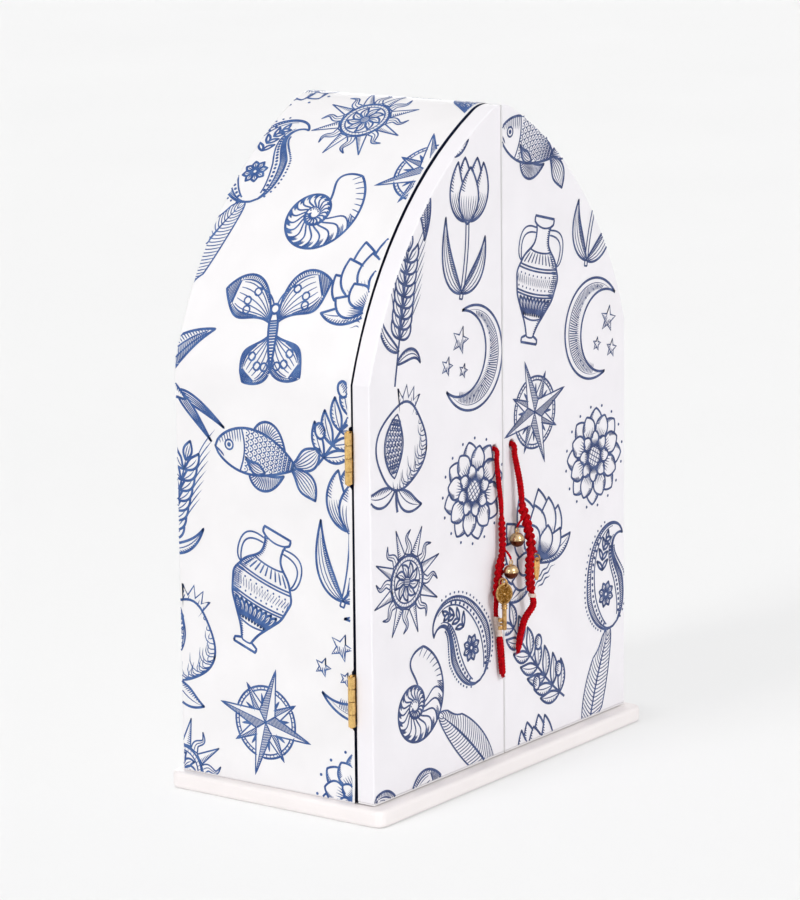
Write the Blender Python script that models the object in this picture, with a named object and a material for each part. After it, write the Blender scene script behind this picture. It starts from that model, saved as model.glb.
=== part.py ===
"""Small arched wooden cabinet with two hinged doors, brass butt hinges and red cord pulls.

Metres, +Z up. The doors face -Y, +X is to the right seen from the front, and the origin is on the
ground under the middle of the base plate.
"""

import math

import bmesh
import bpy
from mathutils import Matrix, Vector

# Driving dimensions of the wooden case
CABINET_WIDTH = 0.176
CASE_DEPTH = 0.0829
WALL_THICKNESS = 0.008
SPRING_HEIGHT = 0.1625
ARCH_RISE = 0.0979
ARCH_RADIUS = 0.1556
APEX_RADIUS = 0.0175
BACK_THICKNESS = 0.004
REBATE_DEPTH = 0.0042
SHELF_THICKNESS = 0.008
SHELF_HEIGHT = 0.088
DADO_DEPTH = 0.003

# Base plate
BASE_THICKNESS = 0.0068
BASE_SIDE_OVERHANG = 0.0044
BASE_FRONT_OVERHANG = 0.0064
BASE_REAR_OVERHANG = 0.0042
BASE_CORNER_RADIUS = 0.0045
BASE_EDGE_ROUND = 0.0016

# Doors
DOOR_THICKNESS = 0.008
DOOR_FLOOR_GAP = 0.0010
DOOR_MEETING_GAP = 0.0007
DOOR_EDGE_ROUND = 0.0006
PULL_HOLE_OFFSET = 0.006
PULL_HOLE_HEIGHT = 0.1315
PULL_HOLE_RADIUS = 0.0018

# Butt hinges
HINGE_LENGTH = 0.020
HINGE_HEIGHTS = (0.0475, 0.1416)
HINGE_KNUCKLES = 4
BARREL_RADIUS = 0.0014
PIN_RADIUS = 0.0006
LEAF_THICKNESS = 0.0005
LEAF_WIDTH = 0.0062
LEAF_SCREW_RADIUS = 0.0008
LEAF_SCREW_SPACING = 0.011

# Magnet catch on the shelf's front edge
MAGNET_RADIUS = 0.0025
MAGNET_DEPTH = 0.0025
STRIKE_RADIUS = 0.0035
STRIKE_THICKNESS = 0.0007
CATCH_OFFSET = 0.018

# Cord pulls
CORD_RADIUS = 0.00125
STOP_KNOT_RADIUS = 0.0026
BELL_RADIUS = 0.00275
BELL_WALL = 0.0004
BELL_LOOP_RADIUS = 0.0009
PELLET_RADIUS = 0.0008
THREAD_RADIUS = 0.0005
KEY_LENGTH = 0.019
KEY_BOW_RADIUS = 0.0026
KEY_ROD_RADIUS = 0.0007
LEAF_CHARM_LENGTH = 0.0092
LEAF_CHARM_WIDTH = 0.0052
LEAF_CHARM_THICKNESS = 0.0010
KEY_RING_RADIUS = 0.0020
LEAF_RING_RADIUS = 0.0014
RING_WIRE_RADIUS = 0.0003

# Clearances
JOINT_GAP = 0.0003
LEAF_SEAT_GAP = 0.0002
BORE_GAP = 0.0003

# Derived places
LEFT = -1
RIGHT = 1
SIDE_NAMES = {LEFT: "left", RIGHT: "right"}
HALF_WIDTH = CABINET_WIDTH / 2
DOOR_GAP = 2 * LEAF_THICKNESS + 2 * LEAF_SEAT_GAP + JOINT_GAP
BASE_DEPTH = BASE_REAR_OVERHANG + CASE_DEPTH + DOOR_GAP + DOOR_THICKNESS + BASE_FRONT_OVERHANG
BASE_FRONT = -BASE_DEPTH / 2
BASE_REAR = BASE_DEPTH / 2
DOOR_FRONT = BASE_FRONT + BASE_FRONT_OVERHANG
DOOR_BACK = DOOR_FRONT + DOOR_THICKNESS
CASE_FRONT = DOOR_BACK + DOOR_GAP
CASE_REAR = CASE_FRONT + CASE_DEPTH
HINGE_Y = (DOOR_BACK + CASE_FRONT) / 2
HINGE_X = HALF_WIDTH + BARREL_RADIUS + LEAF_SEAT_GAP
CASE_BOTTOM = BASE_THICKNESS + JOINT_GAP
SPRING_Z = BASE_THICKNESS + SPRING_HEIGHT
SHELF_LOW = BASE_THICKNESS + SHELF_HEIGHT
SHELF_MIDDLE = SHELF_LOW + SHELF_THICKNESS / 2
ARC_STEPS = 14
APEX_STEPS = 5

# Routes of the pulls as (sideways, distance in front of the door face, height) in millimetres
LEFT_ROUTE = (
    (-6.0, -8.2, 131.5), (-6.0, -4.0, 131.5), (-6.0, 0.2, 131.5), (-6.7, 1.7, 130.3), (-7.2, 1.8, 127.0),
    (-5.7, 1.7, 118.1), (-4.6, 1.9, 110.0), (-4.5, 2.1, 104.0), (-4.5, 2.4, 96.5), (-4.8, 2.5, 89.8),
    (-6.4, 2.5, 85.8), (-7.3, 2.3, 79.7), (-7.7, 1.9, 73.6), (-8.3, 1.7, 67.6), (-7.6, 1.7, 62.7),
    (-6.0, 1.7, 57.0), (-4.9, 1.7, 49.4), (-4.0, 1.8, 40.4),
)
RIGHT_ROUTE = (
    (6.0, -8.2, 131.5), (6.0, -4.0, 131.5), (6.0, 0.2, 131.5), (5.3, 1.7, 130.3), (5.0, 1.9, 127.8),
    (6.1, 2.3, 122.5), (6.6, 3.4, 115.8), (7.2, 4.2, 106.2), (9.2, 4.9, 99.2), (11.0, 5.5, 90.6),
    (10.4, 5.2, 83.5), (10.9, 5.2, 74.5), (12.2, 5.2, 69.4), (13.0, 4.9, 65.4), (9.4, 3.5, 60.6),
    (7.8, 2.4, 53.9), (7.0, 1.8, 47.9),
)
# Hanging charms, placed the same way
LEFT_BELL_PLACE = (-4.4, 6.4, 82.6)
RIGHT_BELL_PLACE = (4.0, 3.6, 93.5)
KEY_PLACE = (-8.6, 6.0, 79.2)
KEY_TURN = math.radians(35)
LEAF_CHARM_PLACE = (16.6, 4.4, 84.2)
LEAF_CHARM_TURN = math.radians(10)
LEAF_RING_PLACE = (16.6, 4.4, 84.1)
KEY_RING_PLACE = (-8.6, 5.55, 78.95)
LEFT_THREAD_ROUTE = ((-5.2, 4.6, 90.5), (-5.0, 5.6, 90.0), (-4.6, 6.2, 88.7), (-4.4, 6.4, 87.7))
RIGHT_THREAD_ROUTE = ((6.0, 4.6, 102.6), (5.2, 4.4, 101.6), (4.4, 3.9, 99.8), (4.0, 3.6, 98.6))
LEAF_THREAD_ROUTE = ((12.8, 5.2, 86.6), (13.8, 5.2, 87.0), (15.4, 4.8, 87.0), (16.5, 4.4, 86.5))


def clear_scene():
    """Remove whatever the file holds."""
    for old in list(bpy.data.objects):
        bpy.data.objects.remove(old, do_unlink=True)


def make_material(name, colour, roughness, metallic=0.0):
    """Return a plain finish."""
    material = bpy.data.materials.new(name)
    material.use_nodes = True
    shader = material.node_tree.nodes["Principled BSDF"]
    shader.inputs["Base Color"].default_value = (*colour, 1.0)
    shader.inputs["Roughness"].default_value = roughness
    shader.inputs["Metallic"].default_value = metallic
    return material


def white_paint(name):
    """Satin white paint on wood."""
    return make_material(name + "_paint", (0.87, 0.86, 0.87), 0.45)


def brass(name):
    """Yellow brass of the hinges and charms."""
    return make_material(name + "_brass", (0.78, 0.53, 0.16), 0.28, 1.0)


def red_cord(name):
    """Deep red satin cord."""
    return make_material(name + "_cord", (0.50, 0.012, 0.02), 0.6)


def bright_steel(name):
    """Plated steel of the catch."""
    return make_material(name + "_steel", (0.62, 0.62, 0.64), 0.3, 1.0)


def add_object(name, mesh_maker, finish):
    """Turn a bmesh into a named object with its own finish."""
    bmesh.ops.recalc_face_normals(mesh_maker, faces=mesh_maker.faces)
    mesh = bpy.data.meshes.new(name)
    mesh_maker.to_mesh(mesh)
    mesh_maker.free()
    piece = bpy.data.objects.new(name, mesh)
    bpy.context.scene.collection.objects.link(piece)
    if finish is not None:
        mesh.materials.append(finish(name))
    return piece


def prism(outline, low, high, place):
    """Extrude a closed outline from low to high; place turns (a, b, level) into a point."""
    maker = bmesh.new()
    ring = [maker.verts.new(place(a, b, low)) for a, b in outline]
    face = maker.faces.new(ring)
    grown = bmesh.ops.extrude_face_region(maker, geom=[face])
    step = Vector(place(0, 0, high)) - Vector(place(0, 0, low))
    moved = [v for v in grown["geom"] if isinstance(v, bmesh.types.BMVert)]
    bmesh.ops.translate(maker, verts=moved, vec=step)
    return maker


def front_view(a, b, level):
    """Outline drawn seen from the front, extruded in depth."""
    return (a, level, b)


def plan_view(a, b, level):
    """Outline drawn seen from above, extruded upwards."""
    return (a, b, level)


def box(low, high):
    """Return a block between two corners."""
    outline = [(low[0], low[1]), (high[0], low[1]), (high[0], high[1]), (low[0], high[1])]
    return prism(outline, low[2], high[2], plan_view)


def add_cylinder(maker, centre, axis, radius, length, sides):
    """Add a capped cylinder to a bmesh, centred on a point."""
    turn = Vector((0, 0, 1)).rotation_difference(Vector(axis)).to_matrix().to_4x4()
    bmesh.ops.create_cone(
        maker, cap_ends=True, cap_tris=False, segments=sides, radius1=radius, radius2=radius,
        depth=length, matrix=Matrix.Translation(centre) @ turn)


def add_torus(maker, centre, axis, ring_radius, wire_radius, ring_sides=20, wire_sides=8):
    """Add a round ring to a bmesh by spinning a small circle."""
    turn = Vector((0, 0, 1)).rotation_difference(Vector(axis)).to_matrix().to_4x4()
    wire = Matrix.Translation((ring_radius, 0, 0)) @ Matrix.Rotation(math.pi / 2, 4, "X")
    made = bmesh.ops.create_circle(maker, segments=wire_sides, radius=wire_radius, matrix=wire)
    edges = list({e for v in made["verts"] for e in v.link_edges})
    spun = bmesh.ops.spin(
        maker, geom=made["verts"] + edges, cent=(0, 0, 0), axis=(0, 0, 1),
        angle=2 * math.pi, steps=ring_sides, use_merge=True)
    verts = {v for v in spun["geom_last"] if isinstance(v, bmesh.types.BMVert)} | set(made["verts"])
    grown = set(verts)
    while grown:
        grown = {e.other_vert(v) for v in grown for e in v.link_edges} - verts
        verts |= grown
    bmesh.ops.transform(maker, matrix=Matrix.Translation(centre) @ turn, verts=list(verts))


def combine(target, helper_maker, operation):
    """Cut a helper solid out of a piece, or join it on, and keep the result as the piece's mesh."""
    helper = add_object(target.name + "_helper", helper_maker, None)
    step = target.modifiers.new("shape", "BOOLEAN")
    step.operation = operation
    step.object = helper
    bpy.context.view_layer.update()
    graph = bpy.context.evaluated_depsgraph_get()
    shaped = bpy.data.meshes.new_from_object(target.evaluated_get(graph))
    target.modifiers.remove(step)
    target.data = shaped
    bpy.data.objects.remove(helper, do_unlink=True)


def soften(piece, width, segments=2):
    """Round a piece's sharp edges."""
    bevel = piece.modifiers.new("round_edges", "BEVEL")
    bevel.width = width
    bevel.segments = segments
    bevel.limit_method = "ANGLE"
    bevel.angle_limit = math.radians(40)


def smooth(piece, angle=40):
    """Shade a round piece smoothly, with its sharp edges kept."""
    piece.data.shade_smooth()
    piece.data.set_sharp_from_angle(angle=math.radians(angle))


def arch_centres():
    """Centre of the left half's long arc, and height of the apex rounding's centre."""
    chord = math.hypot(HALF_WIDTH, ARCH_RISE)
    apex_slope = math.atan2(ARCH_RISE, HALF_WIDTH) - math.asin(chord / (2 * ARCH_RADIUS))
    centre_x = ARCH_RADIUS * math.sin(apex_slope)
    centre_z = SPRING_Z + ARCH_RISE - ARCH_RADIUS * math.cos(apex_slope)
    apex_z = centre_z + math.sqrt((ARCH_RADIUS - APEX_RADIUS) ** 2 - centre_x ** 2)
    return centre_x, centre_z, apex_z


def arch_points(side, inset, start_z, middle_gap):
    """Half arch from start_z up to the middle: the long arc, then the rounded apex."""
    centre_x, centre_z, apex_z = arch_centres()
    long_radius = ARCH_RADIUS - inset
    round_radius = APEX_RADIUS - inset
    start = math.acos((start_z - centre_z) / long_radius)
    meet = math.atan2(centre_x, apex_z - centre_z)
    stop = math.asin(middle_gap / round_radius)
    points = []
    for i in range(ARC_STEPS):
        angle = start + (meet - start) * i / ARC_STEPS
        points.append((long_radius * math.sin(angle) - centre_x, centre_z + long_radius * math.cos(angle)))
    for i in range(APEX_STEPS + 1):
        angle = meet + (stop - meet) * i / APEX_STEPS
        points.append((round_radius * math.sin(angle), apex_z + round_radius * math.cos(angle)))
    return [(side * x, z) for x, z in points]


def full_arch(inset, bottom):
    """Whole case outline, moved inwards by inset, closed along the bottom."""
    wall = HALF_WIDTH - inset
    spring = SPRING_Z
    left = [(-wall, bottom)] + arch_points(LEFT, inset, spring, 0.0)
    right = [(-x, z) for x, z in reversed(left[:-1])]
    return left + right


def rounded_rectangle(half_x, low_y, high_y, radius, steps=5):
    """Rectangle seen from above with round corners."""
    corners = (
        (half_x - radius, low_y + radius, -90), (half_x - radius, high_y - radius, 0),
        (radius - half_x, high_y - radius, 90), (radius - half_x, low_y + radius, 180))
    points = []
    for x, y, first in corners:
        for i in range(steps + 1):
            angle = math.radians(first + 90 * i / steps)
            points.append((x + radius * math.cos(angle), y + radius * math.sin(angle)))
    return points


def build_base_plate():
    """Plate under the case, wider than it at the sides and in front of the doors."""
    outline = rounded_rectangle(HALF_WIDTH + BASE_SIDE_OVERHANG, BASE_FRONT, BASE_REAR, BASE_CORNER_RADIUS)
    plate = add_object("base_plate", prism(outline, 0.0, BASE_THICKNESS, plan_view), white_paint)
    soften(plate, BASE_EDGE_ROUND, 3)
    smooth(plate)


def back_seat():
    """Solid that cuts the seat of the back panel out of the walls."""
    inset = WALL_THICKNESS - REBATE_DEPTH
    outline = full_arch(inset, CASE_BOTTOM - JOINT_GAP)
    return prism(outline, CASE_REAR - BACK_THICKNESS - JOINT_GAP, CASE_REAR + JOINT_GAP, front_view)


def shelf_seat(side):
    """Solid that cuts the shelf's groove into a side panel."""
    inner = HALF_WIDTH - WALL_THICKNESS
    ends = sorted((side * (inner + DADO_DEPTH), side * (inner - DADO_DEPTH)))
    low = (ends[0], CASE_FRONT - JOINT_GAP, SHELF_LOW - JOINT_GAP)
    high = (ends[1], CASE_REAR - BACK_THICKNESS, SHELF_LOW + SHELF_THICKNESS + JOINT_GAP)
    return box(low, high)


def build_side_panel(side):
    """Straight wall from the base plate to the spring of the arch."""
    ends = sorted((side * HALF_WIDTH, side * (HALF_WIDTH - WALL_THICKNESS)))
    block = box((ends[0], CASE_FRONT, CASE_BOTTOM), (ends[1], CASE_REAR, SPRING_Z - JOINT_GAP / 2))
    panel = add_object(SIDE_NAMES[side] + "_side_panel", block, white_paint)
    combine(panel, back_seat(), "DIFFERENCE")
    combine(panel, shelf_seat(side), "DIFFERENCE")


def build_roof_panel(side):
    """Curved half of the roof, from the spring to the mitre at the apex."""
    low_z = SPRING_Z + JOINT_GAP / 2
    outer = arch_points(side, 0.0, low_z, JOINT_GAP / 2)
    inner = arch_points(side, WALL_THICKNESS, low_z, JOINT_GAP / 2)
    block = prism(outer + inner[::-1], CASE_FRONT, CASE_REAR, front_view)
    panel = add_object(SIDE_NAMES[side] + "_roof_panel", block, white_paint)
    combine(panel, back_seat(), "DIFFERENCE")
    smooth(panel, 20)


def build_back_panel():
    """Thin back let into the walls from behind."""
    inset = WALL_THICKNESS - REBATE_DEPTH + JOINT_GAP
    outline = full_arch(inset, CASE_BOTTOM)
    add_object("back_panel", prism(outline, CASE_REAR - BACK_THICKNESS, CASE_REAR, front_view), white_paint)


def build_shelf():
    """Shelf in the grooves of the side panels, with blind holes for the catch magnets."""
    reach = HALF_WIDTH - WALL_THICKNESS + DADO_DEPTH - JOINT_GAP
    low = (-reach, CASE_FRONT, SHELF_LOW)
    high = (reach, CASE_REAR - BACK_THICKNESS - 2 * JOINT_GAP, SHELF_LOW + SHELF_THICKNESS)
    shelf = add_object("shelf", box(low, high), white_paint)
    holes = bmesh.new()
    for side in (LEFT, RIGHT):
        depth = MAGNET_DEPTH + JOINT_GAP
        centre = (side * CATCH_OFFSET, CASE_FRONT, SHELF_MIDDLE)
        add_cylinder(holes, centre, (0, 1, 0), MAGNET_RADIUS + JOINT_GAP, 2 * depth, 20)
    combine(shelf, holes, "DIFFERENCE")


def build_magnet(side):
    """Disc magnet, flush with the shelf's front edge."""
    maker = bmesh.new()
    centre = (side * CATCH_OFFSET, CASE_FRONT + MAGNET_DEPTH / 2, SHELF_MIDDLE)
    add_cylinder(maker, centre, (0, 1, 0), MAGNET_RADIUS, MAGNET_DEPTH, 20)
    smooth(add_object(SIDE_NAMES[side] + "_magnet", maker, bright_steel))


def build_strike(side):
    """Thin steel disc on the door's back, facing its magnet."""
    maker = bmesh.new()
    centre_y = DOOR_BACK + LEAF_SEAT_GAP + STRIKE_THICKNESS / 2
    centre = (side * CATCH_OFFSET, centre_y, SHELF_MIDDLE)
    add_cylinder(maker, centre, (0, 1, 0), STRIKE_RADIUS, STRIKE_THICKNESS, 20)
    strike = add_object(SIDE_NAMES[side] + "_strike_disc", maker, bright_steel)
    smooth(strike)
    return strike


def build_door(side):
    """Half-arch door that covers its side of the case, with a hole for its pull."""
    middle = side * DOOR_MEETING_GAP / 2
    bottom = BASE_THICKNESS + DOOR_FLOOR_GAP
    outline = [(middle, bottom), (side * HALF_WIDTH, bottom)]
    outline += arch_points(side, 0.0, SPRING_Z, DOOR_MEETING_GAP / 2)
    door = add_object(
        SIDE_NAMES[side] + "_door", prism(outline, DOOR_FRONT, DOOR_BACK, front_view), white_paint)
    hole = bmesh.new()
    centre = (side * PULL_HOLE_OFFSET, (DOOR_FRONT + DOOR_BACK) / 2, PULL_HOLE_HEIGHT)
    add_cylinder(hole, centre, (0, 1, 0), PULL_HOLE_RADIUS, 2 * DOOR_THICKNESS, 16)
    combine(door, hole, "DIFFERENCE")
    soften(door, DOOR_EDGE_ROUND)
    smooth(door, 20)
    return door


def knuckle_outline(side, lean):
    """Knuckle with its tab seen from above; lean is +1 towards the case and -1 towards the door."""
    low = JOINT_GAP / 2 + LEAF_SEAT_GAP / 4
    high = JOINT_GAP / 2 + LEAF_THICKNESS - LEAF_SEAT_GAP / 4
    first = math.asin(high / BARREL_RADIUS)
    last = 2 * math.pi + math.asin(low / BARREL_RADIUS)
    tab = BARREL_RADIUS + 3 * JOINT_GAP
    points = [(tab, low), (tab, high)]
    steps = 16
    for i in range(steps + 1):
        angle = first + (last - first) * i / steps
        points.append((BARREL_RADIUS * math.cos(angle), BARREL_RADIUS * math.sin(angle)))
    return [(side * (HINGE_X - x), HINGE_Y + lean * y) for x, y in points]


def build_hinge_leaf(side, label, centre_z, lean, first_knuckle):
    """Stamped leaf with every second knuckle, its bore and two screw holes."""
    near = side * (HINGE_X - BARREL_RADIUS - JOINT_GAP)
    far = side * (HINGE_X - BARREL_RADIUS - JOINT_GAP - LEAF_WIDTH)
    inner = HINGE_Y + lean * JOINT_GAP / 2
    outer = HINGE_Y + lean * (JOINT_GAP / 2 + LEAF_THICKNESS)
    base_z = centre_z - HINGE_LENGTH / 2
    low = (min(near, far), min(inner, outer), base_z)
    high = (max(near, far), max(inner, outer), base_z + HINGE_LENGTH)
    leaf = add_object(label, box(low, high), brass)
    pitch = HINGE_LENGTH / HINGE_KNUCKLES
    for i in range(first_knuckle, HINGE_KNUCKLES, 2):
        bottom = base_z + i * pitch + JOINT_GAP / 2
        knuckle = prism(knuckle_outline(side, lean), bottom, bottom + pitch - JOINT_GAP, plan_view)
        combine(leaf, knuckle, "UNION")
    holes = bmesh.new()
    bore = PIN_RADIUS + BORE_GAP
    add_cylinder(holes, (side * HINGE_X, HINGE_Y, centre_z), (0, 0, 1), bore, 2 * HINGE_LENGTH, 14)
    for end in (-1, 1):
        centre = ((near + far) / 2, (inner + outer) / 2, centre_z + end * LEAF_SCREW_SPACING / 2)
        add_cylinder(holes, centre, (0, 1, 0), LEAF_SCREW_RADIUS, 4 * LEAF_THICKNESS, 12)
    combine(leaf, holes, "DIFFERENCE")
    smooth(leaf, 30)
    return leaf


def build_hinge_pin(side, label, centre_z):
    """Straight pin with a low round head at each end."""
    head = PIN_RADIUS + BORE_GAP
    half = HINGE_LENGTH / 2 + JOINT_GAP / 2
    rim = half + head / 2
    profile = (
        (0, rim), (head * 0.6, rim - head * 0.1), (head, half), (PIN_RADIUS, half),
        (PIN_RADIUS, -half), (head, -half), (head * 0.6, head * 0.1 - rim), (0, -rim))
    pin = add_object(label, spun_profile(profile, 14), brass)
    pin.location = (side * HINGE_X, HINGE_Y, centre_z)
    smooth(pin)


def spun_profile(profile, steps):
    """Turn a profile of (radius, height) points about the vertical axis."""
    maker = bmesh.new()
    verts = [maker.verts.new((radius, 0, height)) for radius, height in profile]
    edges = [maker.edges.new(pair) for pair in zip(verts, verts[1:])]
    bmesh.ops.spin(
        maker, geom=verts + edges, cent=(0, 0, 0), axis=(0, 0, 1), angle=2 * math.pi, steps=steps,
        use_merge=True)
    bmesh.ops.remove_doubles(maker, verts=maker.verts, dist=1e-7)
    return maker


def place_point(place):
    """Turn (sideways, distance in front of the door face, height) in millimetres into a point."""
    return Vector((place[0] / 1000, DOOR_FRONT - place[1] / 1000, place[2] / 1000))


def smooth_route(route, spacing):
    """Evenly spaced points on a smooth curve through a route's points."""
    points = [place_point(p) for p in route]
    points = [2 * points[0] - points[1]] + points + [2 * points[-1] - points[-2]]
    dense = []
    for a, b, c, d in zip(points, points[1:], points[2:], points[3:]):
        for i in range(12):
            t = i / 12
            dense.append(0.5 * (2 * b + (c - a) * t + (2 * a - 5 * b + 4 * c - d) * t ** 2
                                + (3 * b - a - 3 * c + d) * t ** 3))
    dense.append(points[-2])
    lengths = [0.0]
    for a, b in zip(dense, dense[1:]):
        lengths.append(lengths[-1] + (b - a).length)
    count = max(3, round(lengths[-1] / spacing))
    even = []
    k = 0
    for i in range(count + 1):
        goal = lengths[-1] * i / count
        while k < len(lengths) - 2 and lengths[k + 1] < goal:
            k += 1
        share = (goal - lengths[k]) / (lengths[k + 1] - lengths[k])
        even.append(dense[k].lerp(dense[k + 1], share))
    return even


def build_tube(name, route, radius, spacing):
    """Round cord along a route, with closed ends."""
    curve = bpy.data.curves.new(name, "CURVE")
    curve.dimensions = "3D"
    curve.bevel_depth = radius
    curve.bevel_resolution = 2
    curve.use_fill_caps = True
    points = smooth_route(route, spacing)
    spline = curve.splines.new("POLY")
    spline.points.add(len(points) - 1)
    for knot, point in zip(spline.points, points):
        knot.co = (*point, 1.0)
    tube = bpy.data.objects.new(name, curve)
    curve.materials.append(red_cord(name))
    bpy.context.scene.collection.objects.link(tube)
    return tube


def build_stop_knot(side):
    """Knot behind the door that keeps the cord from slipping out."""
    maker = bmesh.new()
    squash = Matrix.Diagonal((1.0, 0.8, 1.0, 1.0))
    bmesh.ops.create_uvsphere(maker, u_segments=14, v_segments=9, radius=STOP_KNOT_RADIUS, matrix=squash)
    knot = add_object(SIDE_NAMES[side] + "_stop_knot", maker, red_cord)
    inner_end = DOOR_BACK + 2 * JOINT_GAP + 0.8 * STOP_KNOT_RADIUS
    knot.location = (side * PULL_HOLE_OFFSET, inner_end, PULL_HOLE_HEIGHT)
    smooth(knot, 80)
    return knot


def build_bell(side, place):
    """Hollow round bell with a slot across its underside and a wire loop on top."""
    inner = BELL_RADIUS - BELL_WALL
    mouth = math.radians(14)
    steps = 9
    profile = []
    for i in range(steps + 1):
        angle = (math.pi - mouth) * i / steps
        profile.append((BELL_RADIUS * math.sin(angle), BELL_RADIUS * math.cos(angle)))
    for i in range(steps + 1):
        angle = (math.pi - mouth) * (steps - i) / steps
        profile.append((inner * math.sin(angle), inner * math.cos(angle)))
    bell = add_object(SIDE_NAMES[side] + "_bell", spun_profile(profile, 18), brass)
    slot = BELL_WALL
    cut = box((-slot, -2 * BELL_RADIUS, -2 * BELL_RADIUS), (slot, 2 * BELL_RADIUS, -0.35 * BELL_RADIUS))
    combine(bell, cut, "DIFFERENCE")
    loop = bmesh.new()
    wire = BELL_WALL * 0.8
    add_torus(loop, (0, 0, BELL_RADIUS + BELL_LOOP_RADIUS - wire / 2), (0, 1, 0), BELL_LOOP_RADIUS, wire, 16, 8)
    combine(bell, loop, "UNION")
    bell.location = place_point(place)
    smooth(bell)
    return bell


def build_pellet(side, place):
    """Loose steel ball that lies in the bell."""
    maker = bmesh.new()
    bmesh.ops.create_icosphere(maker, subdivisions=2, radius=PELLET_RADIUS)
    pellet = add_object(SIDE_NAMES[side] + "_bell_pellet", maker, bright_steel)
    drop = BELL_RADIUS - BELL_WALL - JOINT_GAP - PELLET_RADIUS
    pellet.location = place_point(place) - Vector((0, 0, drop))
    smooth(pellet, 80)
    return pellet


def build_key_charm():
    """Small key with a ring bow that holds three spokes, a round rod and two teeth."""
    maker = bmesh.new()
    wire = KEY_ROD_RADIUS
    bow_z = -KEY_BOW_RADIUS - wire
    add_torus(maker, (0, 0, bow_z), (0, 1, 0), KEY_BOW_RADIUS, wire, 22, 8)
    key = add_object("key_charm", maker, brass)
    spokes = (((0, 0, bow_z), (1, 0, 0), 2 * KEY_BOW_RADIUS),
              ((0, 0, bow_z - KEY_BOW_RADIUS / 2), (0, 0, 1), KEY_BOW_RADIUS))
    for centre, axis, length in spokes:
        bar = bmesh.new()
        add_cylinder(bar, centre, axis, wire * 0.7, length, 10)
        combine(key, bar, "UNION")
    rod = bmesh.new()
    rod_top = bow_z - KEY_BOW_RADIUS
    rod_end = -KEY_LENGTH
    add_cylinder(rod, (0, 0, (rod_top + rod_end) / 2), (0, 0, 1), wire * 0.95, rod_top - rod_end, 12)
    combine(key, rod, "UNION")
    for share in (0.25, 0.08):
        level = rod_end + share * KEY_LENGTH
        tooth = box((0.0, -wire * 0.6, level - wire), (KEY_BOW_RADIUS, wire * 0.6, level + wire * 0.6))
        combine(key, tooth, "UNION")
    key.location = place_point(KEY_PLACE)
    key.rotation_euler = (0, 0, -KEY_TURN)
    smooth(key)
    return key


def build_leaf_charm():
    """Flat leaf-shaped charm, pointed at its foot, with a hole for its ring."""
    half = LEAF_CHARM_WIDTH / 2
    steps = 10
    outline = []
    for i in range(2 * steps):
        angle = math.pi * i / steps
        fullness = half * math.sin(angle) * (1 + 0.25 * math.cos(angle))
        outline.append((fullness, (LEAF_CHARM_LENGTH / 2) * (math.cos(angle) - 1)))
    thick = LEAF_CHARM_THICKNESS / 2
    charm = add_object("leaf_charm", prism(outline, -thick, thick, front_view), brass)
    hole = bmesh.new()
    add_cylinder(hole, (0, 0, -3 * thick), (0, 1, 0), RING_WIRE_RADIUS + BORE_GAP, 4 * thick, 10)
    combine(charm, hole, "DIFFERENCE")
    soften(charm, thick * 0.4, 1)
    charm.location = place_point(LEAF_CHARM_PLACE)
    charm.rotation_euler = (0, 0, LEAF_CHARM_TURN)
    smooth(charm)
    return charm


def build_charm_ring(name, centre, radius):
    """Round wire ring, seen edge on from the front, that hangs a charm on its cord."""
    maker = bmesh.new()
    add_torus(maker, (0, 0, 0), (1, 0, 0), radius, RING_WIRE_RADIUS, 18, 8)
    ring = add_object(name, maker, brass)
    ring.location = place_point(centre)
    smooth(ring, 80)
    return ring


def build_left_pull():
    """Cord, bell and key of the left door."""
    return [
        build_tube("left_cord", LEFT_ROUTE, CORD_RADIUS, 2.2 * CORD_RADIUS),
        build_stop_knot(LEFT),
        build_bell(LEFT, LEFT_BELL_PLACE),
        build_pellet(LEFT, LEFT_BELL_PLACE),
        build_tube("left_bell_thread", LEFT_THREAD_ROUTE, THREAD_RADIUS, 2 * THREAD_RADIUS),
        build_key_charm(),
        build_charm_ring("key_ring", KEY_RING_PLACE, KEY_RING_RADIUS),
    ]


def build_right_pull():
    """Cord, bell and leaf charm of the right door."""
    return [
        build_tube("right_cord", RIGHT_ROUTE, CORD_RADIUS, 2.2 * CORD_RADIUS),
        build_stop_knot(RIGHT),
        build_bell(RIGHT, RIGHT_BELL_PLACE),
        build_pellet(RIGHT, RIGHT_BELL_PLACE),
        build_tube("right_bell_thread", RIGHT_THREAD_ROUTE, THREAD_RADIUS, 2 * THREAD_RADIUS),
        build_leaf_charm(),
        build_charm_ring("leaf_ring", LEAF_RING_PLACE, LEAF_RING_RADIUS),
        build_tube("leaf_charm_thread", LEAF_THREAD_ROUTE, THREAD_RADIUS, 2 * THREAD_RADIUS),
    ]


def hang_door(side, pieces):
    """Parent a door and all that rides on it to an empty on its hinge axis."""
    axis = bpy.data.objects.new(SIDE_NAMES[side] + "_door_axis", None)
    axis.location = (side * HINGE_X, HINGE_Y, BASE_THICKNESS + DOOR_FLOOR_GAP)
    bpy.context.scene.collection.objects.link(axis)
    bpy.context.view_layer.update()
    for piece in pieces:
        piece.parent = axis
        piece.matrix_parent_inverse = axis.matrix_world.inverted()


def build_hinges(side):
    """Both hinges of a door; returns the leaves that ride on it."""
    riding = []
    for level, centre_z in zip(("lower", "upper"), HINGE_HEIGHTS):
        label = SIDE_NAMES[side] + "_" + level + "_hinge"
        build_hinge_leaf(side, label + "_case_leaf", centre_z, 1, 0)
        riding.append(build_hinge_leaf(side, label + "_door_leaf", centre_z, -1, 1))
        build_hinge_pin(side, label + "_pin", centre_z)
    return riding


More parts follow.
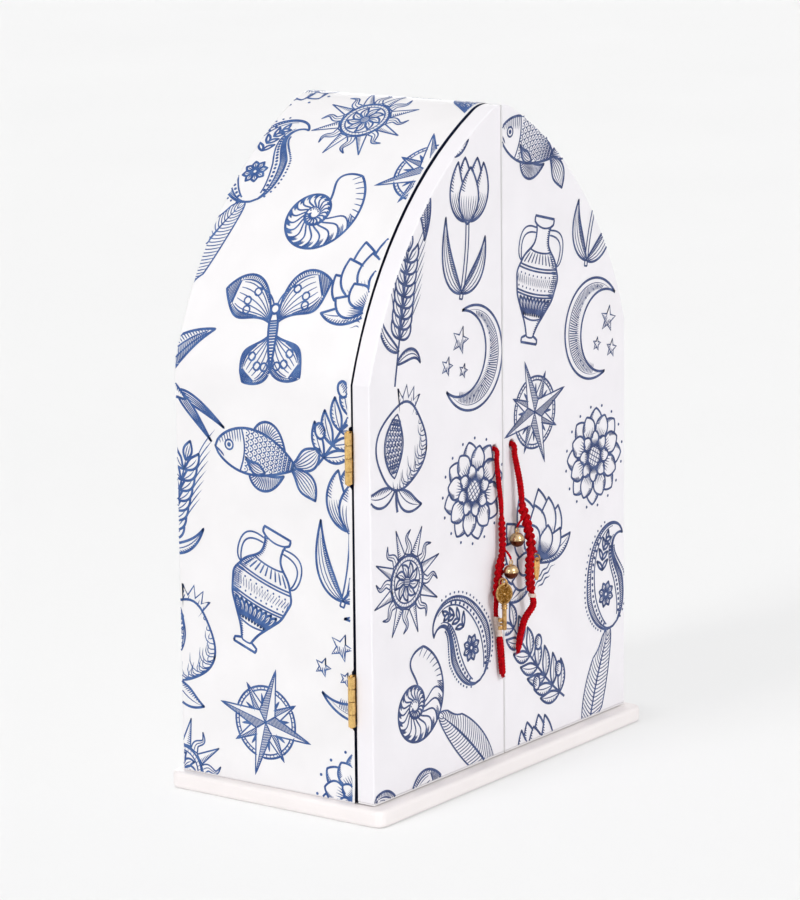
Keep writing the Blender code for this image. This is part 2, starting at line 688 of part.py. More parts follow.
def build_cabinet():
    """Build the case, then each door with its hinges, catch and pull."""
    clear_scene()
    build_base_plate()
    build_back_panel()
    build_shelf()
    pulls = {LEFT: build_left_pull, RIGHT: build_right_pull}
    for side in (LEFT, RIGHT):
        build_side_panel(side)
        build_roof_panel(side)
        build_magnet(side)
        riding = [build_door(side), build_strike(side)]
        riding += build_hinges(side)
        riding += pulls[side]()
        hang_door(side, riding)


build_cabinet()
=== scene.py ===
"""Looks of a small arched wooden cabinet: white paint, blue line print, brass hinges and red cord pulls.

Metres, +Z up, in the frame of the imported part: the doors face -Y and +X is to the right seen from the front.
"""

import logging
import math
from dataclasses import dataclass, field
from enum import Enum
from typing import Sequence

import bpy
import numpy as np
from mathutils import Matrix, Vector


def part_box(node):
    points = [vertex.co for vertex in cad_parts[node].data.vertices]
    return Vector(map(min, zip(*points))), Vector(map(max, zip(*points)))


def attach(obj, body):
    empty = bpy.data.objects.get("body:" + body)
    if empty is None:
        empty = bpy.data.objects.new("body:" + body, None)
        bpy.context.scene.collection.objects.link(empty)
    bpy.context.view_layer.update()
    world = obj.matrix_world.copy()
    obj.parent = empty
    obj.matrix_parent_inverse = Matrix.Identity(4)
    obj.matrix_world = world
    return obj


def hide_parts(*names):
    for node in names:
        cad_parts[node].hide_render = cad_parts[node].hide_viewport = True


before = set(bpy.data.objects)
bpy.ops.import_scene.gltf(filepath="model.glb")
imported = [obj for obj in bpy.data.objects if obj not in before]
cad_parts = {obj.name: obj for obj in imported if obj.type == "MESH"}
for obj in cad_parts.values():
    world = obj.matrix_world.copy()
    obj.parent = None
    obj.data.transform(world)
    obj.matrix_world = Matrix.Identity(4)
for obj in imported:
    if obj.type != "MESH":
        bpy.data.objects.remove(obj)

LOG = logging.getLogger("cabinet")
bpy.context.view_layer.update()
DOOR_FRONT, DOOR_BACK = (corner[1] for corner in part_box("left_door"))
CASE_FRONT, CASE_REAR = (corner[1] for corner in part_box("left_side_panel"))
MM = 0.001
COVERING = 0.15 * MM
DOOR_FOOT = 0.0078
HOLE_HEIGHT = 131.5 * MM
Array = np.ndarray
Colour = tuple[float, float, float]
Place = Sequence[float]
Span = tuple[float, float]


class Side(Enum):
    """The two halves of the cabinet, with the sign of their X."""

    LEFT = -1
    RIGHT = 1

    @property
    def label(self) -> str:
        """Word that starts the names of this side's pieces."""
        return self.name.lower()

    @property
    def door(self) -> str:
        """Body that this side's door pieces ride on."""
        return self.label + "_door"


class Slot(Enum):
    """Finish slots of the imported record."""

    WOOD = "white_wood"
    BRASS = "brass"
    CORD = "red_cord"
    STEEL = "steel"


# Surfaces


class Axis(Enum):
    """Axis that a profile is turned about, as the order that puts (cos, sin, height) on X, Y and Z."""

    Y = (1, 2, 0)
    Z = (0, 1, 2)


def no_triangles() -> Array:
    """Empty list of three-cornered faces."""
    return np.zeros((0, 3), int)


def shares(count: int) -> Array:
    """Even shares from 0 to 1."""
    return np.linspace(0, 1, count)


def around(count: int) -> Array:
    """Angles of even steps once round a circle."""
    return np.linspace(0, 2 * np.pi, count, endpoint=False)


def spokes(angle: Array) -> Array:
    """Unit steps (cos, sin) at angles, on a new last axis."""
    return np.stack([np.cos(angle), np.sin(angle)], -1)


def unit(steps: Array) -> Array:
    """Steps brought to a length of 1; a step of no length stays as it is."""
    return steps / (np.linalg.norm(steps, axis=-1, keepdims=True) + 1e-12)


def lengths(path: Array) -> Array:
    """Length along a path from its start to each of its places."""
    return np.concatenate([[0.0], np.cumsum(np.linalg.norm(np.diff(path, axis=0), axis=1))])


def looked_up(places: Array, known: Array, rows: Sequence[Array]) -> Array:
    """Values at places between known ones, one row for each row of known values."""
    return np.stack([np.interp(places, known, row) for row in rows])


@dataclass
class Shell:
    """Points of a surface with its four-cornered and three-cornered faces."""

    points: Array
    quads: Array
    tris: Array = field(default_factory=no_triangles)

    def outward(self) -> "Shell":
        """Turn the faces of a closed shell outwards, by the sign of the volume that they enclose.

        Returns:
            The shell, or a copy with its faces reversed.
        """
        corners = np.concatenate([self.quads[:, [0, 1, 2]], self.quads[:, [0, 2, 3]], self.tris])
        a, b, c = (self.points[corners[:, i]] for i in range(3))
        if np.einsum("ij,ij->i", a, np.cross(b, c)).sum() >= 0:
            return self
        return Shell(self.points, self.quads[:, ::-1], self.tris[:, ::-1])


def ring_quads(rows: int, sides: int, wraps: bool) -> Array:
    """Number the corners of the quads that join each ring of a stack to the next.

    Args:
        rows: how many rings.
        sides: points in a ring.
        wraps: whether the last ring joins the first.

    Returns:
        The corners, (quads, 4).
    """
    row, col = np.meshgrid(np.arange(rows if wraps else rows - 1), np.arange(sides), indexing="ij")
    down, after = (row + 1) % rows, (col + 1) % sides
    corners = [row * sides + col, row * sides + after, down * sides + after, down * sides + col]
    return np.stack(corners, -1).reshape(-1, 4)


def tube_shell(rings: Array) -> Shell:
    """Close a stack of rings into a capped tube.

    Quads join each ring to the next, and a fan joins each end ring to the mean of its points.

    Args:
        rings: places of the rings, (rows, sides, 3).

    Returns:
        The closed shell, faces outwards.
    """
    rows, sides = rings.shape[:2]
    rim = np.arange(sides)
    onward = (rim + 1) % sides
    middle, last = rows * sides, (rows - 1) * sides
    low = np.stack([np.full(sides, middle), onward, rim], -1)
    high = np.stack([np.full(sides, middle + 1), last + rim, last + onward], -1)
    points = np.concatenate([rings.reshape(-1, 3), rings[0].mean(0)[None], rings[-1].mean(0)[None]])
    return Shell(points, ring_quads(rows, sides, False), np.concatenate([low, high])).outward()


def ring_shell(rings: Array) -> Shell:
    """Join a stack of rings, (rows, sides, 3), into a closed loop whose last ring meets its first."""
    return Shell(rings.reshape(-1, 3), ring_quads(*rings.shape[:2], True)).outward()


def joined(shells: Sequence[Shell]) -> Shell:
    """Put several shells into one, by counting each one's corners on from the last.

    Args:
        shells: the shells to put together.

    Returns:
        One shell with all their faces.
    """
    starts = np.cumsum([0] + [len(shell.points) for shell in shells[:-1]])
    return Shell(
        np.concatenate([shell.points for shell in shells]),
        np.concatenate([shell.quads + start for shell, start in zip(shells, starts)]),
        np.concatenate([shell.tris + start for shell, start in zip(shells, starts)]),
    )


def make_piece(name: str, shell: Shell, finish: "Finish", body: str,
               replaces: Sequence[str] = (), smooth: bool = True) -> bpy.types.Object:
    """Turn a shell into a finished piece that rides on a body.

    Args:
        name: the piece's name.
        shell: its surface in the part's frame.
        finish: its finish.
        body: the body that carries it.
        replaces: nodes that it stands for.
        smooth: whether its faces are shaded as one round surface.

    Returns:
        The new object.
    """
    mesh = bpy.data.meshes.new(name)
    quads, tris = len(shell.quads), len(shell.tris)
    corners = np.concatenate([shell.quads.ravel(), shell.tris.ravel()])
    starts = np.concatenate([4 * np.arange(quads), 4 * quads + 3 * np.arange(tris)])
    mesh.vertices.add(len(shell.points))
    mesh.vertices.foreach_set("co", shell.points.astype(np.float32).ravel())
    mesh.loops.add(len(corners))
    mesh.loops.foreach_set("vertex_index", corners.astype(np.int32))
    mesh.polygons.add(quads + tris)
    mesh.polygons.foreach_set("loop_start", starts.astype(np.int32))
    mesh.polygons.foreach_set("use_smooth", np.full(quads + tris, smooth))
    mesh.update(calc_edges=True)
    mesh.validate()
    mesh.materials.append(finish.material(name))
    piece = bpy.data.objects.new(name, mesh)
    bpy.context.scene.collection.objects.link(piece)
    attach(piece, body)
    if replaces:
        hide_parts(*replaces)
    LOG.info("%s: %d faces on %s", name, quads + tris, body)
    return piece


@dataclass(frozen=True)
class Twist:
    """How plies are twisted: their number, the share of the radius lost between them, and turns in a metre."""

    plies: int = 0
    depth: float = 0.0
    turns: float = 0.0


def swept(path: Array, first: Array, second: Array, reach: Array) -> Array:
    """Carry a section along a path: the point at angle t lies at path + reach (cos t first + sin t second).

    Args:
        path: places along the middle, (n, 3).
        first: direction of angle 0 at each place, (n, 3).
        second: direction of a quarter turn, (n, 3) or (3,).
        reach: radius at each place and angle, (n, sides).

    Returns:
        Rings of places, (n, sides, 3).
    """
    way = spokes(around(reach.shape[1]))
    steps = way[:, :1] * first[..., None, :] + way[:, 1:] * second[..., None, :]
    return path[:, None] + reach[..., None] * steps


def tube_rings(path: Array, radius: Array, sides: int, twist: Twist = Twist()) -> Array:
    """Carry a round or twisted section along a path.

    At distance s and angle t its radius is radius(s) (1 - depth + depth |cos(plies (t - turns s) / 2)|).
    Angle 0 is the X axis made square to the path.

    Args:
        path: places along the middle, (n, 3).
        radius: radius at each place, (n,).
        sides: points around the section.
        twist: its plies.

    Returns:
        Rings of places, (n, sides, 3).
    """
    tangent = unit(np.gradient(path, axis=0))
    first = unit(np.array([1.0, 0.0, 0.0]) - tangent[:, :1] * tangent)
    turned = twist.plies * (around(sides) - 2 * np.pi * twist.turns * lengths(path)[:, None]) / 2
    reach = radius[:, None] * (1 - twist.depth + twist.depth * np.abs(np.cos(turned)))
    return swept(path, first, np.cross(tangent, first), reach)


def spun_rings(profile: Array, sides: int, centre: Array, axis: Axis = Axis.Z) -> Array:
    """Turn a profile of (radius, height) about an axis through a centre.

    A point at angle t is centre + radius (cos t a + sin t b) + height c, where c is the axis.

    Args:
        profile: radii and heights, (n, 2).
        sides: points around.
        centre: place of height 0.
        axis: the axis.

    Returns:
        Rings of places, (n, sides, 3).
    """
    flat = profile[:, :1, None] * spokes(around(sides))
    height = np.broadcast_to(profile[:, 1:, None], (len(profile), sides, 1))
    return np.concatenate([flat, height], -1)[..., list(axis.value)] + centre


def wire_loop(centre: Array, radius: float, wire: float) -> Shell:
    """Make a wire ring about the Y axis: a circle of the wire's radius turned round a larger one."""
    section = np.array([radius, 0.0]) + wire * spokes(around(12))
    return ring_shell(spun_rings(section, 40, centre, Axis.Y))


# Finishes


class NodeBoard:
    """Node tree of one finish, with short calls that add nodes and join them."""

    def __init__(self, name: str) -> None:
        """Start a material that has only its Principled shader.

        Args:
            name: the material's name.
        """
        self.material = bpy.data.materials.new(name)
        self.material.use_nodes = True
        self.tree = self.material.node_tree
        self.shader = self.tree.nodes["Principled BSDF"]
        self.place = self.add("ShaderNodeTexCoord").outputs["Object"]

    def add(self, kind: str, inputs: dict | None = None, **settings: object) -> bpy.types.Node:
        """Add a node.

        Args:
            kind: the node's type name.
            inputs: values or other nodes' outputs for its sockets.
            settings: its own settings.

        Returns:
            The node.
        """
        node = self.tree.nodes.new(kind)
        for key, value in settings.items():
            setattr(node, key, value)
        for key, value in (inputs or {}).items():
            self.set(node.inputs[key], value)
        return node

    def set(self, socket: bpy.types.NodeSocket, value: object) -> None:
        """Join an output to a socket, or write a plain value on it.

        Args:
            socket: the socket.
            value: another node's output or a value.
        """
        if isinstance(value, bpy.types.NodeSocket):
            self.tree.links.new(value, socket)
        else:
            socket.default_value = value

    def dress(self, **inputs: object) -> None:
        """Set sockets of the Principled shader, with _ for a space in their names."""
        for key, value in inputs.items():
            self.set(self.shader.inputs[key.replace("_", " ")], value)

    def level(self, axis: str) -> bpy.types.NodeSocket:
        """Place along one axis of the part's frame."""
        return self.add("ShaderNodeSeparateXYZ", {"Vector": self.place}).outputs[axis]

    def noise(self, scale: float, detail: float = 2.0, stretch: Place = (1, 1, 1)) -> bpy.types.NodeSocket:
        """Give a noise value over the surface.

        Args:
            scale: ripples in a metre, about.
            detail: levels of finer noise.
            stretch: scale of each axis.

        Returns:
            The noise's output, about 0.5 on average.
        """
        mapping = self.add("ShaderNodeMapping", {"Vector": self.place, "Scale": stretch})
        inputs = {"Vector": mapping.outputs[0], "Scale": scale, "Detail": detail}
        return self.add("ShaderNodeTexNoise", inputs).outputs["Fac"]

    def total(self, first: bpy.types.NodeSocket, second: bpy.types.NodeSocket) -> bpy.types.NodeSocket:
        """Sum of two values."""
        return self.add("ShaderNodeMath", {0: first, 1: second}, operation="ADD").outputs[0]

    def spread(self, value: bpy.types.NodeSocket, span: Span = (0.3, 0.7),
               out: Span = (0.0, 1.0)) -> bpy.types.NodeSocket:
        """Carry a value from one span, low and high, to another, held at its ends."""
        keys = {"Value": value, "From Min": span[0], "From Max": span[1], "To Min": out[0], "To Max": out[1]}
        return self.add("ShaderNodeMapRange", keys, clamp=True).outputs["Result"]

    def blend(self, share: bpy.types.NodeSocket, first: object, second: object) -> bpy.types.NodeSocket:
        """Mix two colours.

        Args:
            share: 0 for the first colour and 1 for the second.
            first: a colour or an output.
            second: a colour or an output.

        Returns:
            The mixed colour.
        """
        node = self.add("ShaderNodeMix", data_type="RGBA")
        for socket, value in ((0, share), (6, first), (7, second)):
            self.set(node.inputs[socket], (*value, 1.0) if isinstance(value, tuple) else value)
        return node.outputs[2]

    def bump(self, height: bpy.types.NodeSocket, depth: float, strength: float) -> None:
        """Raise the surface's shading by a height of some depth in metres."""
        node = self.add("ShaderNodeBump", {"Height": height, "Distance": depth, "Strength": strength})
        self.dress(Normal=node.outputs[0])


class Finish:
    """What every finish does: make a material of its own for each piece."""

    kind = "finish"

    def material(self, name: str) -> bpy.types.Material:
        """Make the material of one piece.

        Args:
            name: the piece's name.

        Returns:
            The material.
        """
        board = NodeBoard(f"{name}_{self.kind}")
        self.paint(board)
        return board.material

    def paint(self, board: NodeBoard) -> None:
        """Set the finish's nodes on a board."""
        raise NotImplementedError


WHITE: Colour = (0.80, 0.785, 0.793)
CREAM: Colour = (0.815, 0.770, 0.765)
LILAC: Colour = (0.80, 0.778, 0.808)
NAVY: Colour = (0.016, 0.026, 0.075)


@dataclass(frozen=True)
class PaintedWood(Finish):
    """Satin paint on wood: mottling, roller texture and grain, with another colour behind a level in depth."""

    front: Colour = WHITE
    rear: Colour = WHITE
    level: float = 1.0
    blur: float = 0.04 * MM
    mottle: float = 0.955
    kind = "paint"

    def paint(self, board: NodeBoard) -> None:
        """Set the paint, whose front colour ends where Y passes the level.

        Args:
            board: the piece's node board.
        """
        behind = board.spread(board.level("Y"), (self.level - self.blur, self.level + self.blur))
        share = board.spread(board.noise(45.0, 3.0))
        tones = [board.blend(share, tuple(self.mottle * part for part in colour), colour)
                 for colour in (self.front, self.rear)]
        peel = board.noise(1500.0)
        grain = board.noise(260.0, 3.0, (1.0, 1.0, 0.06))
        board.dress(Base_Color=board.blend(behind, *tones), Specular_IOR_Level=0.35,
                    Roughness=board.spread(peel, out=(0.46, 0.60)))
        board.bump(board.total(peel, grain), 0.06 * MM, 0.35)


@dataclass(frozen=True)
class Brass(Finish):
    """Yellow brass, browner in patches, with fine scratches; its under colour paints shade below a set height.
    """

    bright: Colour = (0.58, 0.40, 0.165)
    brown: Colour = (0.24, 0.12, 0.035)
    tarnish: float = 0.55
    belt: float = -1.0
    # The under colour is painted shade, tinted red as a painted reflection of the cord.
    under: Colour = (0.085, 0.012, 0.004)
    kind = "brass"

    def paint(self, board: NodeBoard) -> None:
        """Set the brass.

        Args:
            board: the piece's node board.
        """
        patches = board.spread(board.noise(620.0, 4.0), (0.42, 0.68), (0.0, self.tarnish))
        scratch = board.noise(2600.0, 2.0, (1.0, 1.0, 0.12))
        # Painted shade: below the set height the brass takes the dark red under colour.
        below = board.spread(board.level("Z"), (self.belt - 0.3 * MM, self.belt + 0.5 * MM), (0.97, 0.0))
        tone = board.blend(below, board.blend(patches, self.bright, self.brown), self.under)
        board.dress(Base_Color=tone, Metallic=1.0, Roughness=board.spread(scratch, out=(0.20, 0.36)))
        board.bump(scratch, 0.04 * MM, 0.25)


@dataclass(frozen=True)
class Steel(Finish):
    """Plated steel with fine scratches and a dull bloom."""

    bright: Colour = (0.66, 0.66, 0.68)
    dull: Colour = (0.42, 0.42, 0.45)
    kind = "steel"

    def paint(self, board: NodeBoard) -> None:
        """Set the steel.

        Args:
            board: the piece's node board.
        """
        scratch = board.noise(3000.0, 2.0, (1.0, 0.2, 1.0))
        bloom = board.spread(board.noise(400.0, 3.0), (0.4, 0.7), (0.0, 0.7))
        board.dress(Base_Color=board.blend(bloom, self.bright, self.dull), Metallic=1.0,
                    Roughness=board.spread(scratch, out=(0.22, 0.40)))
        board.bump(scratch, 0.03 * MM, 0.2)


@dataclass(frozen=True)
class Yarn(Finish):
    """Twisted satin yarn: fibres slant across the plies, and its red is darker and lighter at random."""

    light: Colour = (0.56, 0.002, 0.008)
    dark: Colour = (0.21, 0.001, 0.003)
    kind = "yarn"

    def paint(self, board: NodeBoard) -> None:
        """Set the yarn.

        Args:
            board: the piece's node board.
        """
        fibre = board.noise(3200.0, 3.0, (1.0, 1.0, 0.35))
        share = board.spread(board.total(fibre, board.noise(700.0)), (0.75, 1.25))
        board.dress(Base_Color=board.blend(share, self.dark, self.light), Specular_IOR_Level=0.04,
                    Roughness=0.7)
        board.bump(fibre, 0.12 * MM, 0.6)


@dataclass(frozen=True)
class Ink(Finish):
    """Printed ink: an even film that is a little thinner in places."""

    deep: Colour = (0.028, 0.078, 0.245)
    thin: Colour = (0.075, 0.155, 0.36)
    kind = "ink"

    def paint(self, board: NodeBoard) -> None:
        """Set the ink.

        Args:
            board: the piece's node board.
        """
        patch = board.spread(board.noise(240.0, 3.0), (0.42, 0.75))
        peel = board.noise(1500.0)
        board.dress(Base_Color=board.blend(patch, self.deep, self.thin), Specular_IOR_Level=0.3,
                    Roughness=board.spread(peel, out=(0.48, 0.62)))
        board.bump(peel, 0.05 * MM, 0.3)


def dress_nodes(names: Sequence[str], finish: Finish) -> None:
    """Give carried-over nodes a finish.

    Args:
        names: the nodes.
        finish: their finish; each node gets a material of its own.
    """
    for name in names:
        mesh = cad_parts[name].data
        mesh.materials.clear()
        mesh.materials.append(finish.material(name))
        LOG.info("%s: dressed", name)


# Case


def leftward(line: Array) -> Array:
    """Unit steps a quarter turn to the left of a flat line, or of each line of a stack."""
    ahead = unit(np.gradient(line, axis=-2))
    return np.stack([-ahead[..., 1], ahead[..., 0]], -1)


@dataclass
class ArchLine:
    """Outside line of the case seen from the front: straight walls, a long arc each side and a rounded apex."""

    half_width: float = 0.088
    bottom: float = 0.0068
    spring: float = 0.1693
    rise: float = 0.0979
    radius: float = 0.1556
    apex_radius: float = 0.0175

    def __post_init__(self) -> None:
        """Work out the centres of the arcs and keep a finely spaced copy of the left half, with its lengths."""
        chord = math.hypot(self.half_width, self.rise)
        slope = math.atan2(self.rise, self.half_width) - math.asin(chord / (2 * self.radius))
        self.centre_x = self.radius * math.sin(slope)
        self.centre_z = self.spring + self.rise - self.radius * math.cos(slope)
        self.apex_z = self.centre_z + math.sqrt((self.radius - self.apex_radius) ** 2 - self.centre_x ** 2)
        start = math.acos((self.spring - self.centre_z) / self.radius)
        self.meet = math.atan2(self.centre_x, self.apex_z - self.centre_z)
        wall = np.stack([np.full(60, -self.half_width), np.linspace(self.bottom, self.spring, 60)], -1)
        arc = self.arc(self.centre_x, self.centre_z, self.radius, np.linspace(start, self.meet, 240))
        apex = self.arc(0.0, self.apex_z, self.apex_radius, np.linspace(self.meet, 0.0, 80))
        self.line = np.concatenate([wall, arc[1:], apex[1:]])
        self.lengths = lengths(self.line)
        self.normal = leftward(self.line)

    @staticmethod
    def arc(centre_x: float, centre_z: float, radius: float, angle: Array) -> Array:
        """Points of an arc about a centre, at angles from its top towards the left."""
        return np.stack([centre_x - radius * np.sin(angle), centre_z + radius * np.cos(angle)], -1)

    @property
    def reach(self) -> float:
        """Length of the left half, from the bottom to the apex."""
        return float(self.lengths[-1])

    def at(self, distance: Array, lift: Array | float = 0.0) -> tuple[Array, Array]:
        """Give places on the whole line.

        Args:
            distance: length from the left bottom corner; past the apex it goes down the right half.
            lift: how far outside the line.

        Returns:
            X and Z of the places.
        """
        side = np.where(distance > self.reach, -1.0, 1.0)
        along = np.where(distance > self.reach, 2 * self.reach - distance, distance)
        x, z, nx, nz = looked_up(along, self.lengths, (*self.line.T, *self.normal.T))
        return side * (x + lift * nx), z + lift * nz

    def inside(self, x: Array, z: Array) -> Array:
        """Give how far places are inside the arch: the least of the lengths to its walls and arcs.

        Args:
            x: places across.
            z: their heights.

        Returns:
            The lengths, below 0 outside.
        """
        across = np.abs(x)
        arc = np.where(z > self.spring, self.radius - np.hypot(across + self.centre_x, z - self.centre_z), 1.0)
        tip = self.apex_radius - np.hypot(x, z - self.apex_z)
        tip = np.where(z > self.apex_z + self.apex_radius * math.cos(self.meet), tip, 1.0)
        return np.minimum.reduce([self.half_width - across, arc, tip])


class Level(Enum):
    """The two hinges of a door, with their heights."""

    LOWER = 0.0475
    UPPER = 0.1416


@dataclass
class Case:
    """The fixed wooden case: base, walls, roof, back and shelf, under one printed white covering."""

    arch: ArchLine
    front: float = CASE_FRONT
    rear: float = CASE_REAR
    rear_edge: float = 0.4 * MM
    back_middle: float = CASE_REAR - 0.00195
    covering: float = COVERING
    under: float = 0.02 * MM
    ease: float = 7.0 * MM
    foot: float = 0.00686
    brow_heights: Sequence[float] = (0.008, 0.016, 0.060, 0.110, 0.160, 0.185, 0.215, 0.250)
    brow_depths: Sequence[float] = (0.55, 0.78, 0.80, 1.07, 1.20, 1.17, 0.95, 0.60)
    hinge_half: float = 11.2 * MM
    hinge_fade: float = 0.8 * MM

    def dress(self) -> None:
        """Paint the carried-over wood: dark blue inside and on the front edges, white outside."""
        walls = [side.label + part for side in Side for part in ("_side_panel", "_roof_panel")]
        dress_nodes(walls, PaintedWood(NAVY, WHITE, self.rear - self.rear_edge))
        dress_nodes(["back_panel"], PaintedWood(NAVY, WHITE, self.back_middle))
        dress_nodes(["shelf"], PaintedWood(NAVY, NAVY))
        dress_nodes(["base_plate"], PaintedWood(CREAM, CREAM))
        dress_nodes([side.label + "_magnet" for side in Side], Steel())

    def build(self) -> None:
        """Cover the walls and roof with one thin sheet that hides their joints.

        Its section is a flat rounded strip from the front edge to the rear, carried along the whole arch. Its
        front edge comes forward, most at the spring, which leaves only a thin gap behind the doors. It stays
        back beside the hinges. Only one row lies near the bend at the spring, which shades it softly.
        """
        reach, bottom = self.arch.reach, self.arch.bottom
        bend = self.arch.spring - bottom
        half = np.concatenate([np.linspace(self.foot - bottom, bend - self.ease, 250), [bend],
                               np.linspace(bend + self.ease, reach, 70)])
        distance = np.concatenate([half, 2 * reach - half[-2::-1]])
        height = bottom + np.minimum(distance, 2 * reach - distance)
        clear = np.min([np.abs(height - level.value) for level in Level], axis=0) - self.hinge_half
        brow = np.interp(self.arch.at(distance)[1], self.brow_heights, self.brow_depths) * MM
        front = self.front - brow * np.clip(clear / self.hinge_fade, 0, 1)
        rear = np.full(len(distance), self.rear)
        corner, lip = 0.4 * self.covering, 5 * self.covering
        low, high = self.covering - corner, self.covering
        strip = [(front, self.under), (front, low), (front + corner, high), (front + lip, high),
                 (rear - lip, high), (rear - corner, high), (rear, low), (rear, self.under)]
        rings = np.stack([np.stack([*self.arch.at(distance, lift), y], -1) for y, lift in strip], 1)
        make_piece("case_covering", tube_shell(rings[..., [0, 2, 1]]), PaintedWood(), "case")


# Doors and hinges


@dataclass
class Doors:
    """Two half-arch boards, white outside and dark blue behind, each with a steel strike."""

    back: float = DOOR_BACK
    front: float = DOOR_FRONT
    foot: float = DOOR_FOOT
    top: float = 0.2655
    gap: float = 0.12 * MM
    edge: float = 0.34 * MM
    outer: float = 87.7 * MM
    drop: float = 0.55 * MM
    sink: float = 0.02 * MM
    ease: float = 0.06 * MM
    back_edge: float = 0.3 * MM

    def dress(self) -> None:
        """Paint the boards and finish the strikes."""
        dress_nodes([side.door for side in Side], PaintedWood(LILAC, NAVY, self.back - self.back_edge))
        dress_nodes([side.label + "_strike_disc" for side in Side], Steel())

    def build(self) -> None:
        """Build up the paint on the meeting and bottom edges: thin rounded strips that leave hairline gaps."""
        ease, gap, edge = self.ease, self.gap, self.edge
        near, far = self.front + ease, self.back - ease
        section = np.array([(edge, near), (gap + ease, near), (gap, near + 2 * ease), (gap, far - 2 * ease),
                            (gap + ease, far), (edge, far)])
        height = np.array([self.foot, self.foot + ease, self.top - ease, self.top])[:, None]
        across = np.array([edge, edge + ease, self.outer - ease, self.outer])[:, None]
        below = self.foot + self.sink - (edge - section[:, 0]) * self.drop / (edge - gap)
        paint = PaintedWood(WHITE, NAVY, self.back - self.back_edge)
        for side in Side:
            upright = np.stack(np.broadcast_arrays(side.value * section[:, 0], section[:, 1], height), -1)
            level = np.stack(np.broadcast_arrays(side.value * across, section[:, 1], below), -1)
            make_piece(side.door + "_edge", joined([tube_shell(upright), tube_shell(level)]), paint, side.door,
                       smooth=False)


@dataclass
class Hinges:
    """Four brass butt hinges with two slotted screws in each leaf."""

    screw_x: float = 0.0848
    axis_y: float = (DOOR_BACK + CASE_FRONT) / 2
    spacing: float = 0.0055
    leaf_inner: float = 0.15 * MM
    sink: float = 0.02 * MM
    head: float = 0.74 * MM
    dome: float = 0.10 * MM
    shank: Sequence[Span] = ((1.0, -0.16 * MM), (0.55, -0.34 * MM), (0.5, -0.66 * MM))
    slot_depth: float = 0.14 * MM
    slot_half: float = 0.17 * MM
    slot_ease: float = 0.04 * MM

    def dress(self) -> None:
        """Give the leaves and pins their brass."""
        nodes = [f"{side.label}_{level.name.lower()}_hinge_{part}" for side in Side for level in Level
                 for part in ("case_leaf", "door_leaf", "pin")]
        dress_nodes(nodes, Brass((0.80, 0.53, 0.20), (0.40, 0.21, 0.06), 0.45))

    def screw(self, centre: Array, facing: int, turn: float) -> Shell:
        """Make a low round screw with a slot.

        A profile of head, rim and shank is turned about Y; the head's points within the slot's half width of a
        line through its middle are moved down by the slot's depth. The shank's radii are shares of the head's.

        Args:
            centre: middle of the head's top.
            facing: sign of Y that the head faces.
            turn: angle of the slot.

        Returns:
            The closed screw.
        """
        share = np.linspace(0.04, 1.0, 9)
        face = np.stack([self.head * share, self.dome * (np.sqrt(1 - 0.9 * share ** 2) - 1)], -1)
        shank = np.array(self.shank) * np.array([self.head, 1.0])
        rings = spun_rings(np.concatenate([face, shank]), 36, np.zeros(3), Axis.Y)
        off = np.abs(np.cos(turn) * rings[:9, :, 0] + np.sin(turn) * rings[:9, :, 2])
        rings[:9, :, 1] -= self.slot_depth * np.clip((self.slot_half - off) / self.slot_ease, 0, 1)
        rings[..., 1] *= facing
        return tube_shell(rings + centre)

    def build(self) -> None:
        """Put two screws in each leaf, set just under the leaf's face."""
        for side in Side:
            for level in Level:
                for part, body, facing in (("case", "case", -1), ("door", side.door, 1)):
                    x, y = side.value * self.screw_x, self.axis_y - facing * (self.leaf_inner + self.sink)
                    screws = [self.screw(np.array([x, y, level.value + k * self.spacing]), facing,
                                         0.6 + 0.9 * k + side.value) for k in (-1, 1)]
                    make_piece(f"{side.label}_{level.name.lower()}_hinge_{part}_screws", joined(screws),
                               Brass(tarnish=0.7), body)


# Cord pulls


def on_door(places: Sequence[Place]) -> Array:
    """Turn (sideways, distance in front of the door face, height) in millimetres into places in metres."""
    values = np.asarray(places, float) * MM
    return np.stack([values[:, 0], DOOR_FRONT - values[:, 1], values[:, 2]], -1)


def smooth_route(points: Array, spacing: float) -> Array:
    """Give evenly spaced places on a smooth curve through points.

    The curve is a cubic between each two points, with the slope at each point taken from its two neighbours.

    Args:
        points: the points, (n, 3).
        spacing: length between places.

    Returns:
        The places, (m, 3).
    """
    padded = np.concatenate([2 * points[:1] - points[1:2], points, 2 * points[-1:] - points[-2:-1]])
    a, b, c, d = (padded[i:len(padded) - 3 + i, None] for i in range(4))
    t = np.linspace(0, 1, 24, endpoint=False)[None, :, None]
    square, cube = 2 * a - 5 * b + 4 * c - d, 3 * b - a - 3 * c + d
    curve = 0.5 * (2 * b + (c - a) * t + square * t ** 2 + cube * t ** 3)
    dense = np.concatenate([curve.reshape(-1, 3), points[-1:]])
    length = lengths(dense)
    even = np.linspace(0, length[-1], max(4, round(length[-1] / spacing)) + 1)
    return looked_up(even, length, dense.T).T


def rounded_ends(path: Array, radius: Array | float, reach: float) -> Array:
    """Draw a radius in towards both ends of a path as a quarter circle does.

    Args:
        path: the path.
        radius: the radius along it.
        reach: length of each rounding.

    Returns:
        The new radius at each place.
    """
    length = lengths(path)
    near = np.minimum(length, length[-1] - length) / reach
    return radius * np.sqrt(np.clip(1 - np.clip(1 - near, 0, 0.98) ** 2, 0, 1))


def make_thread(node: str, route: Sequence[Place], body: str) -> bpy.types.Object:
    """Make a thin two-ply thread in the place of a node.

    Args:
        node: the node.
        route: places on the thread, as for on_door.
        body: the body that carries it.

    Returns:
        The thread.
    """
    line = smooth_route(on_door(route), 0.15 * MM)
    rings = tube_rings(line, rounded_ends(line, 0.5 * MM, 0.4 * MM), 14, Twist(2, 0.2, 600.0))
    return make_piece(node + "_twist", tube_shell(rings), Yarn(), body, [node])


